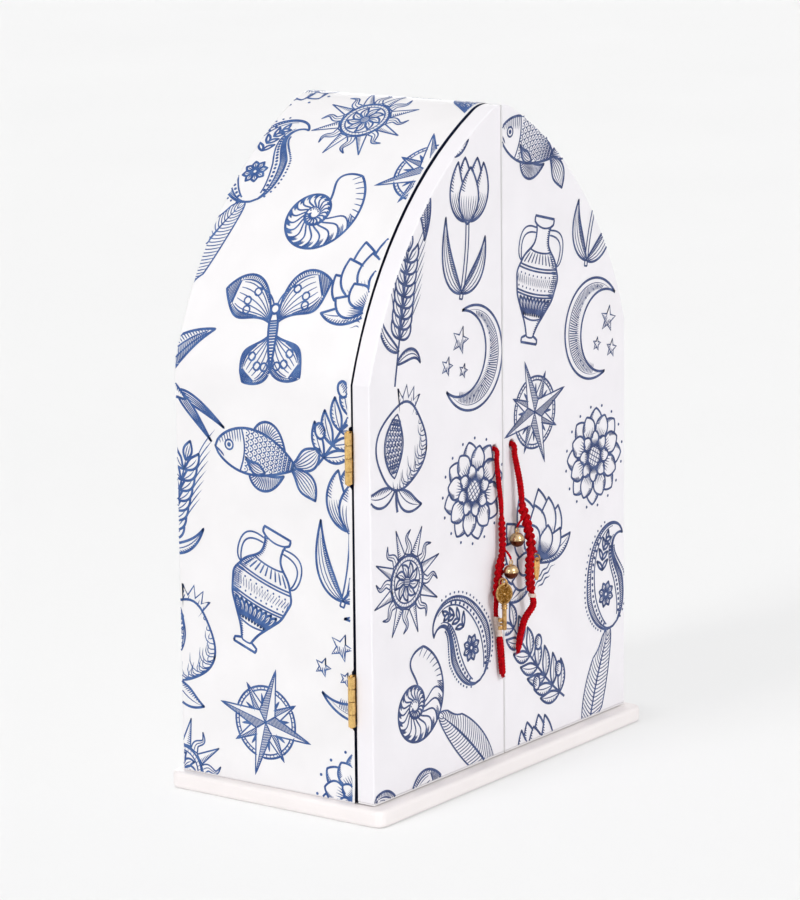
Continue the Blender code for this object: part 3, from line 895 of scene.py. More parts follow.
@dataclass(frozen=True)
class PlaitSpan:
    """A stretch of a pull where extra strands are plaited round it, with sizes in millimetres."""

    top: float
    foot: float
    swing: float
    depth: float
    period: float
    strand: float


@dataclass(frozen=True)
class Bell:
    """Round bell with a raised rim, a slot with round holes in its underside and a wire loop on top."""

    radius: float = 2.95 * MM
    rim: float = 0.20 * MM
    rim_spread: float = 0.07
    slot_half: float = 0.30 * MM
    slot_ease: float = 0.12 * MM
    slot_top: float = -0.8 * MM
    slot_fade: float = 0.2 * MM
    slot_share: float = 0.20
    hole_half: float = 0.35 * MM
    hole_place: float = 1.9 * MM
    hole_reach: float = 0.45 * MM
    loop_height: float = 3.7 * MM
    loop_radius: float = 0.9 * MM
    loop_wire: float = 0.32 * MM
    raised: float = 0.3 * MM

    def shell(self, centre: Array) -> Shell:
        """Turn the bell and press its slot.

        The radius at each height is that of a sphere, plus a small bump at the middle. Points below the slot's
        top and within its half width of the plane X = 0 are drawn in by its share; the half width grows at the
        holes.

        Args:
            centre: middle of the bell.

        Returns:
            The bell with its loop.
        """
        polar = np.linspace(0.06, np.pi - 0.06, 44)
        reach = self.radius + self.rim * np.exp(-((polar - np.pi / 2) / self.rim_spread) ** 2)
        rings = spun_rings(np.stack([reach * np.sin(polar), reach * np.cos(polar)], -1), 72, np.zeros(3))
        holes = np.exp(-((np.abs(rings[..., 1]) - self.hole_place) / self.hole_reach) ** 2)
        width = self.slot_half + self.hole_half * holes
        slot = np.clip((width - np.abs(rings[..., 0])) / self.slot_ease, 0, 1)
        slot *= np.clip((self.slot_top - rings[..., 2]) / self.slot_fade, 0, 1)
        rings *= (1 - self.slot_share * slot)[..., None]
        loop = wire_loop(centre + (0, 0, self.loop_height), self.loop_radius, self.loop_wire)
        return joined([tube_shell(rings + centre), loop])


@dataclass
class Pull:
    """One red cord pull: twisted cord, plaited stretch, stop knot, fringe and bell."""

    side: Side
    route: Sequence[Place]
    thickness: Sequence[Span]
    plaits: Sequence[PlaitSpan]
    bands: Sequence[Span]
    bell: Place
    thread: Sequence[Place]
    diameter: float = 2.4 * MM
    band_pitch: float = 0.52
    band_wire: float = 0.30 * MM
    band_lift: float = 0.12 * MM
    knot_tube: float = 0.95 * MM
    fibres: int = 13
    fibre: float = 0.20 * MM
    fibre_turn: float = 2.4
    fringe_reach: float = 0.75 * MM
    fringe_length: float = 2.4 * MM
    fringe_uneven: float = 0.5 * MM

    def __post_init__(self) -> None:
        """Keep the cord's middle line, and a list for the pieces made."""
        self.path = smooth_route(on_door(self.route), 0.25 * MM)
        self.made: list[bpy.types.Object] = []

    def label(self, part: str) -> str:
        """Name of one of this pull's pieces."""
        return f"{self.side.label}_{part}"

    def radius_at(self, places: Array) -> Array:
        """Half of the cord's thickness at the heights of places."""
        heights, widths = np.array(sorted(self.thickness)).T
        return np.interp(places[:, 2] / MM, heights, widths) * MM / 2

    def make(self, part: str, shell: Shell, finish: Finish = Yarn(), node: str = "",
             slot: Slot = Slot.CORD) -> None:
        """Make a piece that rides on the door, and stands for a node if one is named."""
        nodes = [self.label(node)] if node else []
        self.made.append(make_piece(self.label(part), shell, finish, self.side.door, nodes))

    def build_cord(self) -> None:
        """Carry a three-ply section along the route, with its thickness at each height."""
        radius = rounded_ends(self.path, self.radius_at(self.path), 0.9 * MM)
        rings = tube_rings(self.path, radius, 24, Twist(3, 0.20, 280.0))
        self.make("cord_twist", tube_shell(rings), node="cord")

    def between(self, top: float, foot: float) -> Array:
        """Numbers of the middle line's places between two heights in millimetres."""
        return np.nonzero((self.path[:, 2] < top * MM) & (self.path[:, 2] > foot * MM))[0]

    def build_plaits(self) -> None:
        """Plait three strands round the cord.

        Strand k swings sideways by swing sin(t + 2 pi k / 3) and out by depth sin(2 t + 4 pi k / 3), with t
        growing by a turn each period, and draws in to the cord at both ends.
        """
        for number, span in enumerate(self.plaits, 1):
            part = self.path[self.between(span.top, span.foot)]
            length = lengths(part)
            draw = np.clip(np.sin(np.pi * length / length[-1]) * 2.6, 0, 1)
            shells = []
            for k in range(3):
                t = 2 * np.pi * (length / (span.period * MM) + k / 3)
                strand = part.copy()
                strand[:, 0] += span.swing * MM * draw * np.sin(t)
                strand[:, 1] -= span.depth * MM * draw * np.sin(2 * t)
                radius = rounded_ends(strand, span.strand * MM, 0.6 * MM)
                shells.append(tube_shell(tube_rings(strand, radius, 14, Twist(2, 0.16, 420.0))))
            self.make(f"cord_plait_{number}", joined(shells))

    def build_bands(self) -> None:
        """Wind a pale helix round the cord, close to its surface; the right pull's short one is a painted
        highlight.
        """
        upward = np.array([0.0, 0.0, 1.0])
        for number, (top, foot) in enumerate(self.bands, 1):
            rows = self.between(top, foot)
            turns = (top - foot) / self.band_pitch
            t = shares(round(34 * turns))
            row = rows[0] + t * (rows[-1] - rows[0])
            middle = looked_up(row, np.arange(len(self.path)), self.path.T).T
            turn = 2 * np.pi * turns * t
            outward = np.stack([np.cos(turn), np.sin(turn), 0 * turn], -1)
            helix = middle + (self.radius_at(middle) + self.band_lift)[:, None] * outward
            wire = self.band_wire * np.sqrt(np.clip(1 - (2 * t - 1) ** 40, 0.02, 1))
            rings = swept(helix, outward, upward, np.repeat(wire[:, None], 10, 1))
            pale = Yarn((0.82, 0.70, 0.62), (0.58, 0.42, 0.36))
            self.make(f"cord_band_{number}", tube_shell(rings), pale)

    def build_knot(self) -> None:
        """Tie the stop knot behind the door: a trefoil line with a twisted section carried along it.

        The line is x = sin t + 2 sin 2t, y = 0.9 sin 3t, z = cos t - 2 cos 2t, scaled to the knot's size.
        """
        low, high = (np.array(corner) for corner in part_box(self.label("stop_knot")))
        t = around(120)
        line = np.stack([np.sin(t) + 2 * np.sin(2 * t), 0.9 * np.sin(3 * t), np.cos(t) - 2 * np.cos(2 * t)], -1)
        room = (high - low - 2 * self.knot_tube) / 2 * (1.0, 0.8, 1.0)
        line = (low + high) / 2 + line / 3 * room
        ahead = unit(np.roll(line, -1, 0) - np.roll(line, 1, 0))
        first = unit(np.cross(ahead, line - line.mean(0)))
        reach = self.knot_tube * (0.85 + 0.15 * np.abs(np.cos(around(16) - 9 * t[:, None])))
        rings = swept(line, first, np.cross(ahead, first), reach)
        self.make("stop_knot_twist", ring_shell(rings), node="stop_knot")

    def build_fringe(self) -> None:
        """Fray the free end: fine fibres that start inside the cord's end and spread as they go down."""
        end, ahead = self.path[-6], unit(self.path[-1] - self.path[-6])
        t = shares(9)[:, None]
        shells = []
        for k in range(self.fibres):
            turn = self.fibre_turn * k
            reach = self.fringe_reach * math.sqrt((k + 0.5) / self.fibres)
            length = self.fringe_length + self.fringe_uneven * math.sin(5 * k)
            out = np.array([math.cos(turn), math.sin(turn), 0.0])
            line = end + ahead * t * length + out * reach * (0.9 + 0.5 * t ** 2)
            shells.append(tube_shell(tube_rings(line, self.fibre * (1 - 0.5 * t[:, 0]), 7)))
        self.make("cord_fringe", joined(shells))

    def build_bell(self) -> None:
        """Hang the bell, whose brass below its rim is painted shade with a red painted reflection of the cord.
        """
        bell = Bell()
        centre = on_door([self.bell])[0] + (0, 0, bell.raised)
        # Painted shade and a red painted reflection below the bell's middle.
        brass = Brass((0.62, 0.45, 0.25), (0.34, 0.19, 0.07), belt=float(centre[2]))
        self.make("bell_shell", bell.shell(centre), brass, "bell", Slot.BRASS)

    def build(self) -> None:
        """Build the pull."""
        self.build_cord()
        self.build_plaits()
        self.build_bands()
        self.build_knot()
        self.build_fringe()
        self.build_bell()
        self.made.append(make_thread(self.label("bell_thread"), self.thread, self.side.door))
        dress_nodes([self.label("bell_pellet")], Steel())


LEFT_PULL = Pull(
    side=Side.LEFT,
    route=(
        (-6.0, -8.2, 131.5), (-6.0, -4.0, 131.5), (-6.0, 0.2, 131.5), (-6.7, 1.7, 130.3), (-7.2, 1.8, 127.0),
        (-5.7, 1.7, 118.1), (-4.6, 1.9, 110.0), (-4.5, 2.1, 104.0), (-4.5, 2.4, 96.5), (-4.8, 2.5, 89.8),
        (-6.4, 2.5, 85.8), (-7.3, 2.3, 79.7), (-7.7, 1.9, 73.6), (-8.3, 1.7, 67.6), (-7.6, 1.7, 62.7),
        (-6.0, 1.7, 57.0), (-4.9, 1.7, 49.4), (-4.0, 1.8, 40.4)),
    thickness=((131.5, 2.0), (120.0, 2.2), (108.0, 2.0), (104.0, 1.6), (99.0, 1.1), (78.0, 1.2), (73.0, 2.2),
               (66.0, 1.9), (57.0, 2.0), (55.0, 2.9), (50.0, 3.0), (41.0, 2.8)),
    plaits=(PlaitSpan(105.0, 86.5, 0.85, 0.45, 6.4, 0.80), PlaitSpan(89.0, 71.5, 1.45, 0.5, 8.0, 0.92)),
    bands=((65.0, 56.4),),
    bell=(-4.4, 6.4, 82.6),
    thread=((-5.0, 2.8, 91.5), (-4.9, 4.6, 90.9), (-4.7, 6.0, 89.2), (-4.4, 6.4, 87.8)),
)
RIGHT_PULL = Pull(
    side=Side.RIGHT,
    route=(
        (6.0, -8.2, 131.5), (6.0, -4.0, 131.5), (6.0, 0.2, 131.5), (5.3, 1.7, 130.3), (5.0, 1.9, 127.8),
        (6.1, 2.3, 122.5), (6.6, 3.4, 115.8), (7.2, 4.2, 106.2), (9.2, 4.9, 99.2), (11.0, 5.5, 90.6),
        (10.4, 5.2, 83.5), (10.9, 5.2, 74.5), (12.2, 5.2, 69.4), (13.0, 4.9, 65.4), (9.4, 3.5, 60.6),
        (7.8, 2.4, 53.9), (7.0, 1.8, 47.9)),
    thickness=((131.5, 2.3), (122.0, 2.6), (112.0, 2.7), (107.0, 2.0), (104.0, 0.9), (82.0, 1.0), (76.0, 1.8),
               (71.0, 2.2), (68.0, 2.7), (62.0, 3.0), (52.0, 2.8), (48.0, 2.4)),
    plaits=(PlaitSpan(109.0, 86.0, 1.60, 0.7, 8.4, 0.86), PlaitSpan(88.5, 70.8, 1.40, 0.6, 7.4, 0.90)),
    # This short pale band stands for a glint on the cord: a painted highlight.
    bands=((70.7, 69.0),),
    bell=(4.0, 3.6, 93.5),
    thread=((8.2, 4.5, 102.0), (6.2, 4.5, 101.8), (4.5, 4.0, 100.0), (4.0, 3.6, 98.7)),
)


@dataclass
class Charms:
    """Brass key on the left pull and brass leaf on the right one, with their rings."""

    key_place: Place = (-8.6, 6.0, 79.2)
    key_turn: float = math.radians(-35)
    key_length: float = 19.0 * MM
    bow_tall: float = 4.3 * MM
    bow_wide: float = 3.3 * MM
    bow_gap: float = 0.2 * MM
    bow_plate: float = 0.36 * MM
    bow_rim: float = 0.46 * MM
    bow_ball: float = 0.62 * MM
    petal_wire: float = 0.24 * MM
    petal_lift: float = 0.30 * MM
    rod: float = 0.92 * MM
    collar: float = 0.40 * MM
    collar_reach: float = 0.28 * MM
    collars: Span = (0.9 * MM, 1.9 * MM)
    tooth: float = 2.6 * MM
    tooth_half: float = 0.42 * MM
    leaf_place: Place = (16.6, 4.4, 84.2)
    leaf_turn: float = math.radians(10)
    leaf_length: float = 9.2 * MM
    leaf_width: float = 5.2 * MM
    vein_pitch: float = 1.15 * MM
    vein_slant: float = 1.1 * MM
    leaf_thread: Sequence[Place] = ((12.8, 5.2, 86.6), (13.8, 5.2, 87.0), (15.4, 4.8, 87.0), (16.5, 4.4, 86.5))

    def __post_init__(self) -> None:
        """Set the middle of the key's bow and the oval round it, drawn in towards the foot."""
        t = around(96)
        pinch = 1 - 0.30 * np.clip(-np.sin(t), 0, 1) ** 2
        self.middle = np.array([0, 0, -self.bow_tall - self.bow_gap])
        self.oval = np.stack([self.bow_wide * np.cos(t) * pinch, 0 * t, self.bow_tall * np.sin(t)], -1)

    @staticmethod
    def placed(shell: Shell, turn: float, place: Place) -> Shell:
        """Turn a shell about Z and move it to its place.

        Args:
            shell: the shell.
            turn: angle of the turn.
            place: where its middle goes, as for on_door.

        Returns:
            The moved shell.
        """
        c, s = math.cos(turn), math.sin(turn)
        points = shell.points @ np.array([[c, s, 0], [-s, c, 0], [0, 0, 1.0]]) + on_door([place])[0]
        return Shell(points, shell.quads, shell.tris)

    def key_ground(self) -> Shell:
        """Make the plate of the bow: the oval drawn in to its middle on both faces, rounded at its edge.

        Returns:
            The plate.
        """
        share = np.concatenate([np.linspace(0.03, 1, 30), np.linspace(1, 0.03, 30)])[:, None]
        face = np.repeat([-1.0, 1.0], 30)[:, None]
        rings = share[..., None] * self.oval + self.middle
        rings[..., 1] = self.bow_plate * np.sqrt(np.clip(1 - share ** 10, 0.01, 1)) * face
        return tube_shell(rings)

    def key_wires(self) -> list[Shell]:
        """Make the wires of the bow: a loop, a rim and petals, with a ball in the middle.

        The petal wire lies at 0.54 + 0.2 cos 8t of the oval.

        Returns:
            The wires and the ball.
        """
        out, through = unit(self.oval), np.array([0, 1.0, 0])
        petals = 0.54 + 0.20 * np.cos(8 * around(96))[:, None]
        wires = [wire_loop(np.array([0, 0, 0.5 * MM]), 0.75 * MM, 0.34 * MM)]
        for reach, wire, lift in ((0.93, self.bow_rim, 0.0), (petals, self.petal_wire, self.petal_lift)):
            line = reach * self.oval + self.middle - lift * through
            wires.append(ring_shell(swept(line, out, through, np.full((96, 10), wire))))
        polar = np.linspace(0.05, np.pi - 0.05, 14)
        ball = self.bow_ball * np.stack([np.sin(polar), np.cos(polar)], -1)
        wires.append(tube_shell(spun_rings(ball, 18, self.middle - 0.1 * MM * through)))
        return wires

    def key_rod(self) -> Shell:
        """Make the turned rod, whose radius swells at each of two collars.

        Returns:
            The rod.
        """
        top = self.middle[2] - self.bow_tall + 0.5 * MM
        height = np.linspace(top + 0.3 * MM, -self.key_length, 60)
        swell = sum(np.exp(-((height - top + down) / self.collar_reach) ** 2) for down in self.collars)
        rod = np.stack([self.rod + self.collar * swell, height], -1)
        rod[-1, 0] *= 0.5
        return tube_shell(spun_rings(rod, 24, np.zeros(3)))

    def key_teeth(self) -> list[Shell]:
        """Make the teeth of the bit: blocks with rounded corners, carried out from the rod.

        Returns:
            The teeth.
        """
        way = spokes(around(24))
        section = np.sign(way) * np.abs(way) ** 0.4
        fade = np.array([[1.0], [1.0], [0.75]])
        teeth = []
        for share, reach, deep in ((0.22, 1.0, 0.75), (0.13, 0.72, 0.5), (0.05, 1.0, 0.75)):
            x = -np.array([[0.0], [0.94], [1.0]]) * self.tooth * reach
            y = self.tooth_half * fade * section[:, 0]
            z = -self.key_length + share * self.key_length + deep * MM * fade * section[:, 1]
            teeth.append(tube_shell(np.stack(np.broadcast_arrays(x, y, z), -1)))
        return teeth

    def build_key(self) -> None:
        """Make the key: an oval bow chased with petals, a turned rod with collars, and a toothed bit."""
        body = Side.LEFT.door
        cast = joined([*self.key_wires(), self.key_rod(), *self.key_teeth()])
        # The plate's darker brass is painted shade in the recesses of the bow, between its rim and petals.
        make_piece("key_charm_ground", self.placed(self.key_ground(), self.key_turn, self.key_place),
                   Brass((0.26, 0.12, 0.02), (0.12, 0.045, 0.006), 0.8), body)
        make_piece("key_charm_cast", self.placed(cast, self.key_turn, self.key_place),
                   Brass((0.60, 0.36, 0.14), (0.17, 0.07, 0.012), 0.8), body, ["key_charm"])

    def build_leaf(self) -> None:
        """Make the leaf: a flat section with a raised rim and slanting veins, carried from its top to its foot.

        At angle t, from 0 at the top to pi at the foot, the half width is w sin t (1 + 0.25 cos t); the face
        rises at the rim and at a midrib, and waves along lines that slant away from the midrib as veins do.
        """
        body = Side.RIGHT.door
        angle = np.linspace(0.05, np.pi - 0.05, 90)[:, None]
        half = self.leaf_width / 2 * np.sin(angle) * (1 + 0.25 * np.cos(angle))
        height = self.leaf_length / 2 * (np.cos(angle) - 1)
        across = np.linspace(-1, 1, 41)
        rim = np.clip((np.abs(across) - 0.86) / 0.14, 0, 1)
        slanted = (height - self.vein_slant * np.abs(across)) / self.vein_pitch
        vein = 0.5 + 0.5 * np.cos(2 * np.pi * slanted)
        face = 0.30 + 0.12 * np.exp(-(across / 0.07) ** 2) + 0.07 * vein * (1 - rim) + 0.40 * rim * (1 - rim)
        face = face * np.sqrt(np.clip(1 - across ** 8, 0.02, 1)) * MM
        front = np.stack(np.broadcast_arrays(half * across, -face, height), -1)
        rear = np.stack(np.broadcast_arrays(half * across, 0.8 * face, height), -1)[:, ::-1]
        shell = self.placed(tube_shell(np.concatenate([front, rear], 1)), self.leaf_turn, self.leaf_place)
        make_piece("leaf_charm_cast", shell, Brass((0.86, 0.46, 0.13), (0.30, 0.10, 0.01), 0.7), body,
                   ["leaf_charm"])
        make_thread("leaf_charm_thread", self.leaf_thread, body)

    def dress(self) -> None:
        """Give the carried-over rings their brass."""
        dress_nodes(["key_ring", "leaf_ring"], Brass((0.60, 0.36, 0.14)))


# Line print


BOLD, MID, FINE = 0.87, 0.61, 0.39
EVEN = (1, 1)


def crossings(outline: Array, level: Array) -> tuple[Array, Array]:
    """Find where the edges of a closed outline cross levels.

    Args:
        outline: corners of the outline, (e, 2).
        level: the levels, with a last axis of 1 for the edges.

    Returns:
        Whether each edge crosses each level, and its X there.
    """
    (x0, y0), (x1, y1) = outline.T, np.roll(outline, -1, 0).T
    rise = np.where(y1 == y0, 1.0, y1 - y0)
    return (y0 <= level) != (y1 <= level), x0 + (level - y0) * (x1 - x0) / rise


def within(outline: Array, points: Array) -> Array:
    """Tell which points lie inside a closed outline: those with an odd number of its edges to their right."""
    crosses, x = crossings(outline, points[..., 1, None])
    return (crosses & (points[..., 0, None] < x)).sum(-1) % 2 == 1


def circle(radius: Array | float, centre: Place = (0, 0), start: float = 0.0, stop: float = 360.0,
           count: int = 48) -> Array:
    """Give points on a circle, or on an arc between two angles in degrees; each may have its own radius."""
    angle = np.radians(np.linspace(start, stop, count))
    return np.stack([centre[0] + radius * np.cos(angle), centre[1] + radius * np.sin(angle)], -1)


def bow(start: Place, bend: Place, stop: Place, count: int = 24) -> Array:
    """Give points on the curve that leaves start towards bend and comes to stop from bend.

    Args:
        start: first point.
        bend: point that pulls the curve.
        stop: last point.
        count: how many points.

    Returns:
        The points, (count, 2).
    """
    t = shares(count)[:, None]
    first, pull, last = (np.asarray(point, float) for point in (start, bend, stop))
    return (1 - t) ** 2 * first + 2 * t * (1 - t) * pull + t ** 2 * last


def turn_matrix(turn: float) -> Array:
    """Matrix that turns rows of points by degrees."""
    c, s = math.cos(math.radians(turn)), math.sin(math.radians(turn))
    return np.array([[c, s], [-s, c]])


class Blade:
    """Leaf-like form: a middle line with half widths. A place on it is (share along, share across)."""

    def __init__(self, line: Array, half: Array) -> None:
        """Keep the line, its sideways direction and its half widths.

        Args:
            line: the middle line, (n, 2).
            half: the half widths, (n,).
        """
        self.columns = np.stack([*line.T, *leftward(line).T, half])
        self.shares = shares(len(line))

    @classmethod
    def leaf(cls, start: Place, bend: Place, stop: Place, half: float, peak: float = 0.5,
             power: float = 1.0) -> "Blade":
        """Make a leaf on a bowed line.

        Args:
            start: its foot.
            bend: point that pulls its middle line.
            stop: its tip.
            half: its half width where it is widest.
            peak: share along where it is widest.
            power: below 1 for fuller ends.

        Returns:
            The leaf, with half width half sin(pi t^p)^power, p set so that its peak is where it should be.
        """
        t = shares(41)
        width = half * np.sin(np.pi * t ** (math.log(0.5) / math.log(peak))) ** power
        return cls(bow(start, bend, stop, 41), np.nan_to_num(np.clip(width, 0, None)))

    @classmethod
    def stem(cls, start: Place, bend: Place, stop: Place, half: float, count: int) -> "Blade":
        """Make a stem of one half width on a bowed line of so many points."""
        return cls(bow(start, bend, stop, count), np.full(count, half))

    def at(self, along: Array | float, across: Array | float = 0.0) -> Array:
        """Give places on the blade.

        Args:
            along: shares along.
            across: shares across, -1 to 1.

        Returns:
            The places, with X and Y on a new last axis.
        """
        along, across = np.broadcast_arrays(along, across)
        x, y, nx, ny, half = looked_up(along, self.shares, self.columns)
        return np.stack([x + across * half * nx, y + across * half * ny], -1)

    def outline(self, count: int = 30) -> Array:
        """Give the closed outline, up one side and down the other."""
        t = np.sin(np.linspace(0, np.pi / 2, count)) ** 2
        return np.concatenate([self.at(t, -1.0), self.at(t[-2:0:-1], 1.0)])

    def ribs(self, across: Sequence[float], start: float, stop: float, count: int = 9) -> Array:
        """Give lines that run lengthwise at shares across, from one share along to another."""
        return self.at(np.linspace(start, stop, count), np.asarray(across, float)[:, None])

    def bars(self, span: tuple[float, float, int], inner: float, outer: float, slant: float = 0.0,
             count: int = 4) -> Array:
        """Give lines from one share across to another, leaning by a slant; span is first, last and number."""
        t = shares(count)
        return self.at(np.clip(np.linspace(*span)[:, None] + slant * t, 0, 1), inner + (outer - inner) * t)


class Drawing:
    """Strokes of an engraved picture in millimetres: stacks of point rows with a width at each point."""

    def __init__(self) -> None:
        """Start with nothing drawn."""
        self.strokes: list[tuple[Array, Array]] = []

    def draw(self, points: Array, width: float, ends: Span = (0.55, 0.55)) -> None:
        """Add one stroke or a stack of strokes that thin out towards their ends.

        Args:
            points: (m, 2) or (s, m, 2).
            width: width in the middle.
            ends: shares of the width at the first and last point.
        """
        points = points[None] if points.ndim == 2 else points
        t = shares(points.shape[1])
        share = np.minimum(1, np.minimum(ends[0] + 3 * t, ends[1] + 3 * (1 - t)))
        self.strokes.append((points, np.broadcast_to(width * share, points.shape[:2]).copy()))

    def fine(self, points: Array, fade: float) -> None:
        """Add fine strokes that fade to a share of their width."""
        self.draw(points, FINE, (1, fade))

    def line(self, points: Array) -> None:
        """Add strokes of one middling width."""
        self.draw(points, MID, EVEN)

    def cover(self, outline: Array) -> None:
        """Rub out what is drawn inside an outline, so that what comes next lies in front of it."""
        for points, width in self.strokes:
            width[within(outline, points)] = 0.0

    def shape(self, outline: Array, width: float = BOLD) -> None:
        """Draw a closed outline in front of what is there."""
        self.cover(outline)
        self.draw(np.concatenate([outline, outline[:2]]), width, EVEN)

    def dots(self, centres: Array | Place, radius: float) -> None:
        """Add round dots: strokes whose width follows a circle.

        Args:
            centres: middles of the dots.
            radius: their radius.
        """
        t = np.linspace(-1, 1, 7)
        points = np.asarray(centres, float).reshape(-1, 1, 2) + np.stack([radius * t, 0 * t], -1)
        width = np.broadcast_to(2 * radius * np.sqrt(1.02 - t ** 2), points.shape[:2]).copy()
        self.strokes.append((points, width))

    def hatch(self, outline: Array, angle: float, spacing: float, reach: Span = (0.0, 1.0),
              bend: float = 0.0) -> None:
        """Shade an outline with fine parallel strokes.

        The outline is turned so that strokes are level; each level's crossings with the edges are sorted, and
        each pair is a stroke, cut to a share of its length that wavers a little from stroke to stroke.

        Args:
            outline: corners of the outline.
            angle: direction of the strokes in degrees.
            spacing: distance between strokes.
            reach: shares of the crossing where a stroke starts and ends.
            bend: how far a stroke bows, as a share of its length.
        """
        turn = turn_matrix(angle)
        turned = outline @ turn.T
        low, high = turned[:, 1].min(), turned[:, 1].max()
        level = np.arange(low + spacing / 2, high, spacing)[:, None]
        cross = np.sort(np.where(*crossings(turned, level), np.inf), 1)[:, :6]
        first, last = cross[:, 0::2], cross[:, 1::2]
        row, pair = np.nonzero(np.isfinite(last))
        if not len(row):
            return
        first, last, level = (column[:, None] for column in (first[row, pair], last[row, pair], level[row, 0]))
        waver = (0.07 * np.sin(2.3 * row) + 0.05 * np.sin(5.1 * row + 1))[:, None]
        low = np.clip(reach[0] + (waver if reach[0] > 0 else 0), 0, 1)
        high = np.clip(reach[1] + (waver if reach[1] < 1 else 0), 0, 1)
        t = shares(5)
        x = first + (last - first) * (low + (high - low) * t)
        y = level + bend * (last - first) * 4 * t * (1 - t)
        ends = (1.0 if reach[0] == 0 else 0.2, 1.0 if reach[1] == 1 else 0.2)
        self.draw(np.stack([x, y], -1) @ turn, FINE, ends)

    def veined(self, blade: Blade, ribs: Sequence[float] = (), reach: float = 0.7, shade: float = 0.0,
               count: int = 12, slant: float = 0.06) -> None:
        """Draw a leaf or petal in front of what is there.

        Args:
            blade: the leaf.
            ribs: shares across of its lengthwise veins.
            reach: how far along the veins run.
            shade: sign of the side with short cross strokes, 0 for none.
            count: how many cross strokes.
            slant: how far they lean.
        """
        self.shape(blade.outline())
        if len(ribs):
            self.fine(blade.ribs(ribs, 0.04, reach), 0.15)
        if shade:
            self.fine(blade.bars((0.14, 0.9, count), shade, 0.42 * shade, -slant), 0.15)

    def add(self, other: "Drawing", turn: float = 0.0, place: Place = (0, 0), scale: float = 1.0,
            mirror: bool = False) -> None:
        """Add a copy of another drawing, mirrored, scaled, turned and moved, in that order.

        Args:
            other: the drawing.
            turn: how far it is turned, in degrees.
            place: where its middle goes.
            scale: how much it is enlarged.
            mirror: whether its left and right change places.
        """
        matrix = scale * turn_matrix(turn)
        if mirror:
            matrix = np.diag([-1.0, 1.0]) @ matrix
        self.strokes += [(points @ matrix + np.asarray(place, float), width * scale)
                         for points, width in other.strokes]

    def ringed(self, count: int, first: float = 0.0) -> "Drawing":
        """Repeat the drawing round the middle.

        Args:
            count: how many times.
            first: turn of the first one in degrees.

        Returns:
            The ring.
        """
        whole = Drawing()
        for k in range(count):
            whole.add(self, first + 360.0 * k / count)
        return whole


class Motif(Enum):
    """Pictures of the print, all common ornaments."""

    SUN = "sun"
    FISH = "fish"
    LOTUS = "lotus"
    CRESCENT = "crescent"
    FEATHER = "feather"
    POMEGRANATE = "pomegranate"
    BUTTERFLY = "butterfly"
    COMPASS = "compass"
    TULIP = "tulip"
    PAISLEY = "paisley"
    WHEAT = "wheat"
    SNAIL = "snail"
    AMPHORA = "amphora"
    OLIVE = "olive"
    ROSETTE = "rosette"
    SWALLOW = "swallow"

    @property
    def size(self) -> float:
        """How much the picture is enlarged on the print; round ones fill their place sooner."""
        return 1.04 if self in (Motif.SUN, Motif.COMPASS, Motif.ROSETTE) else 1.2


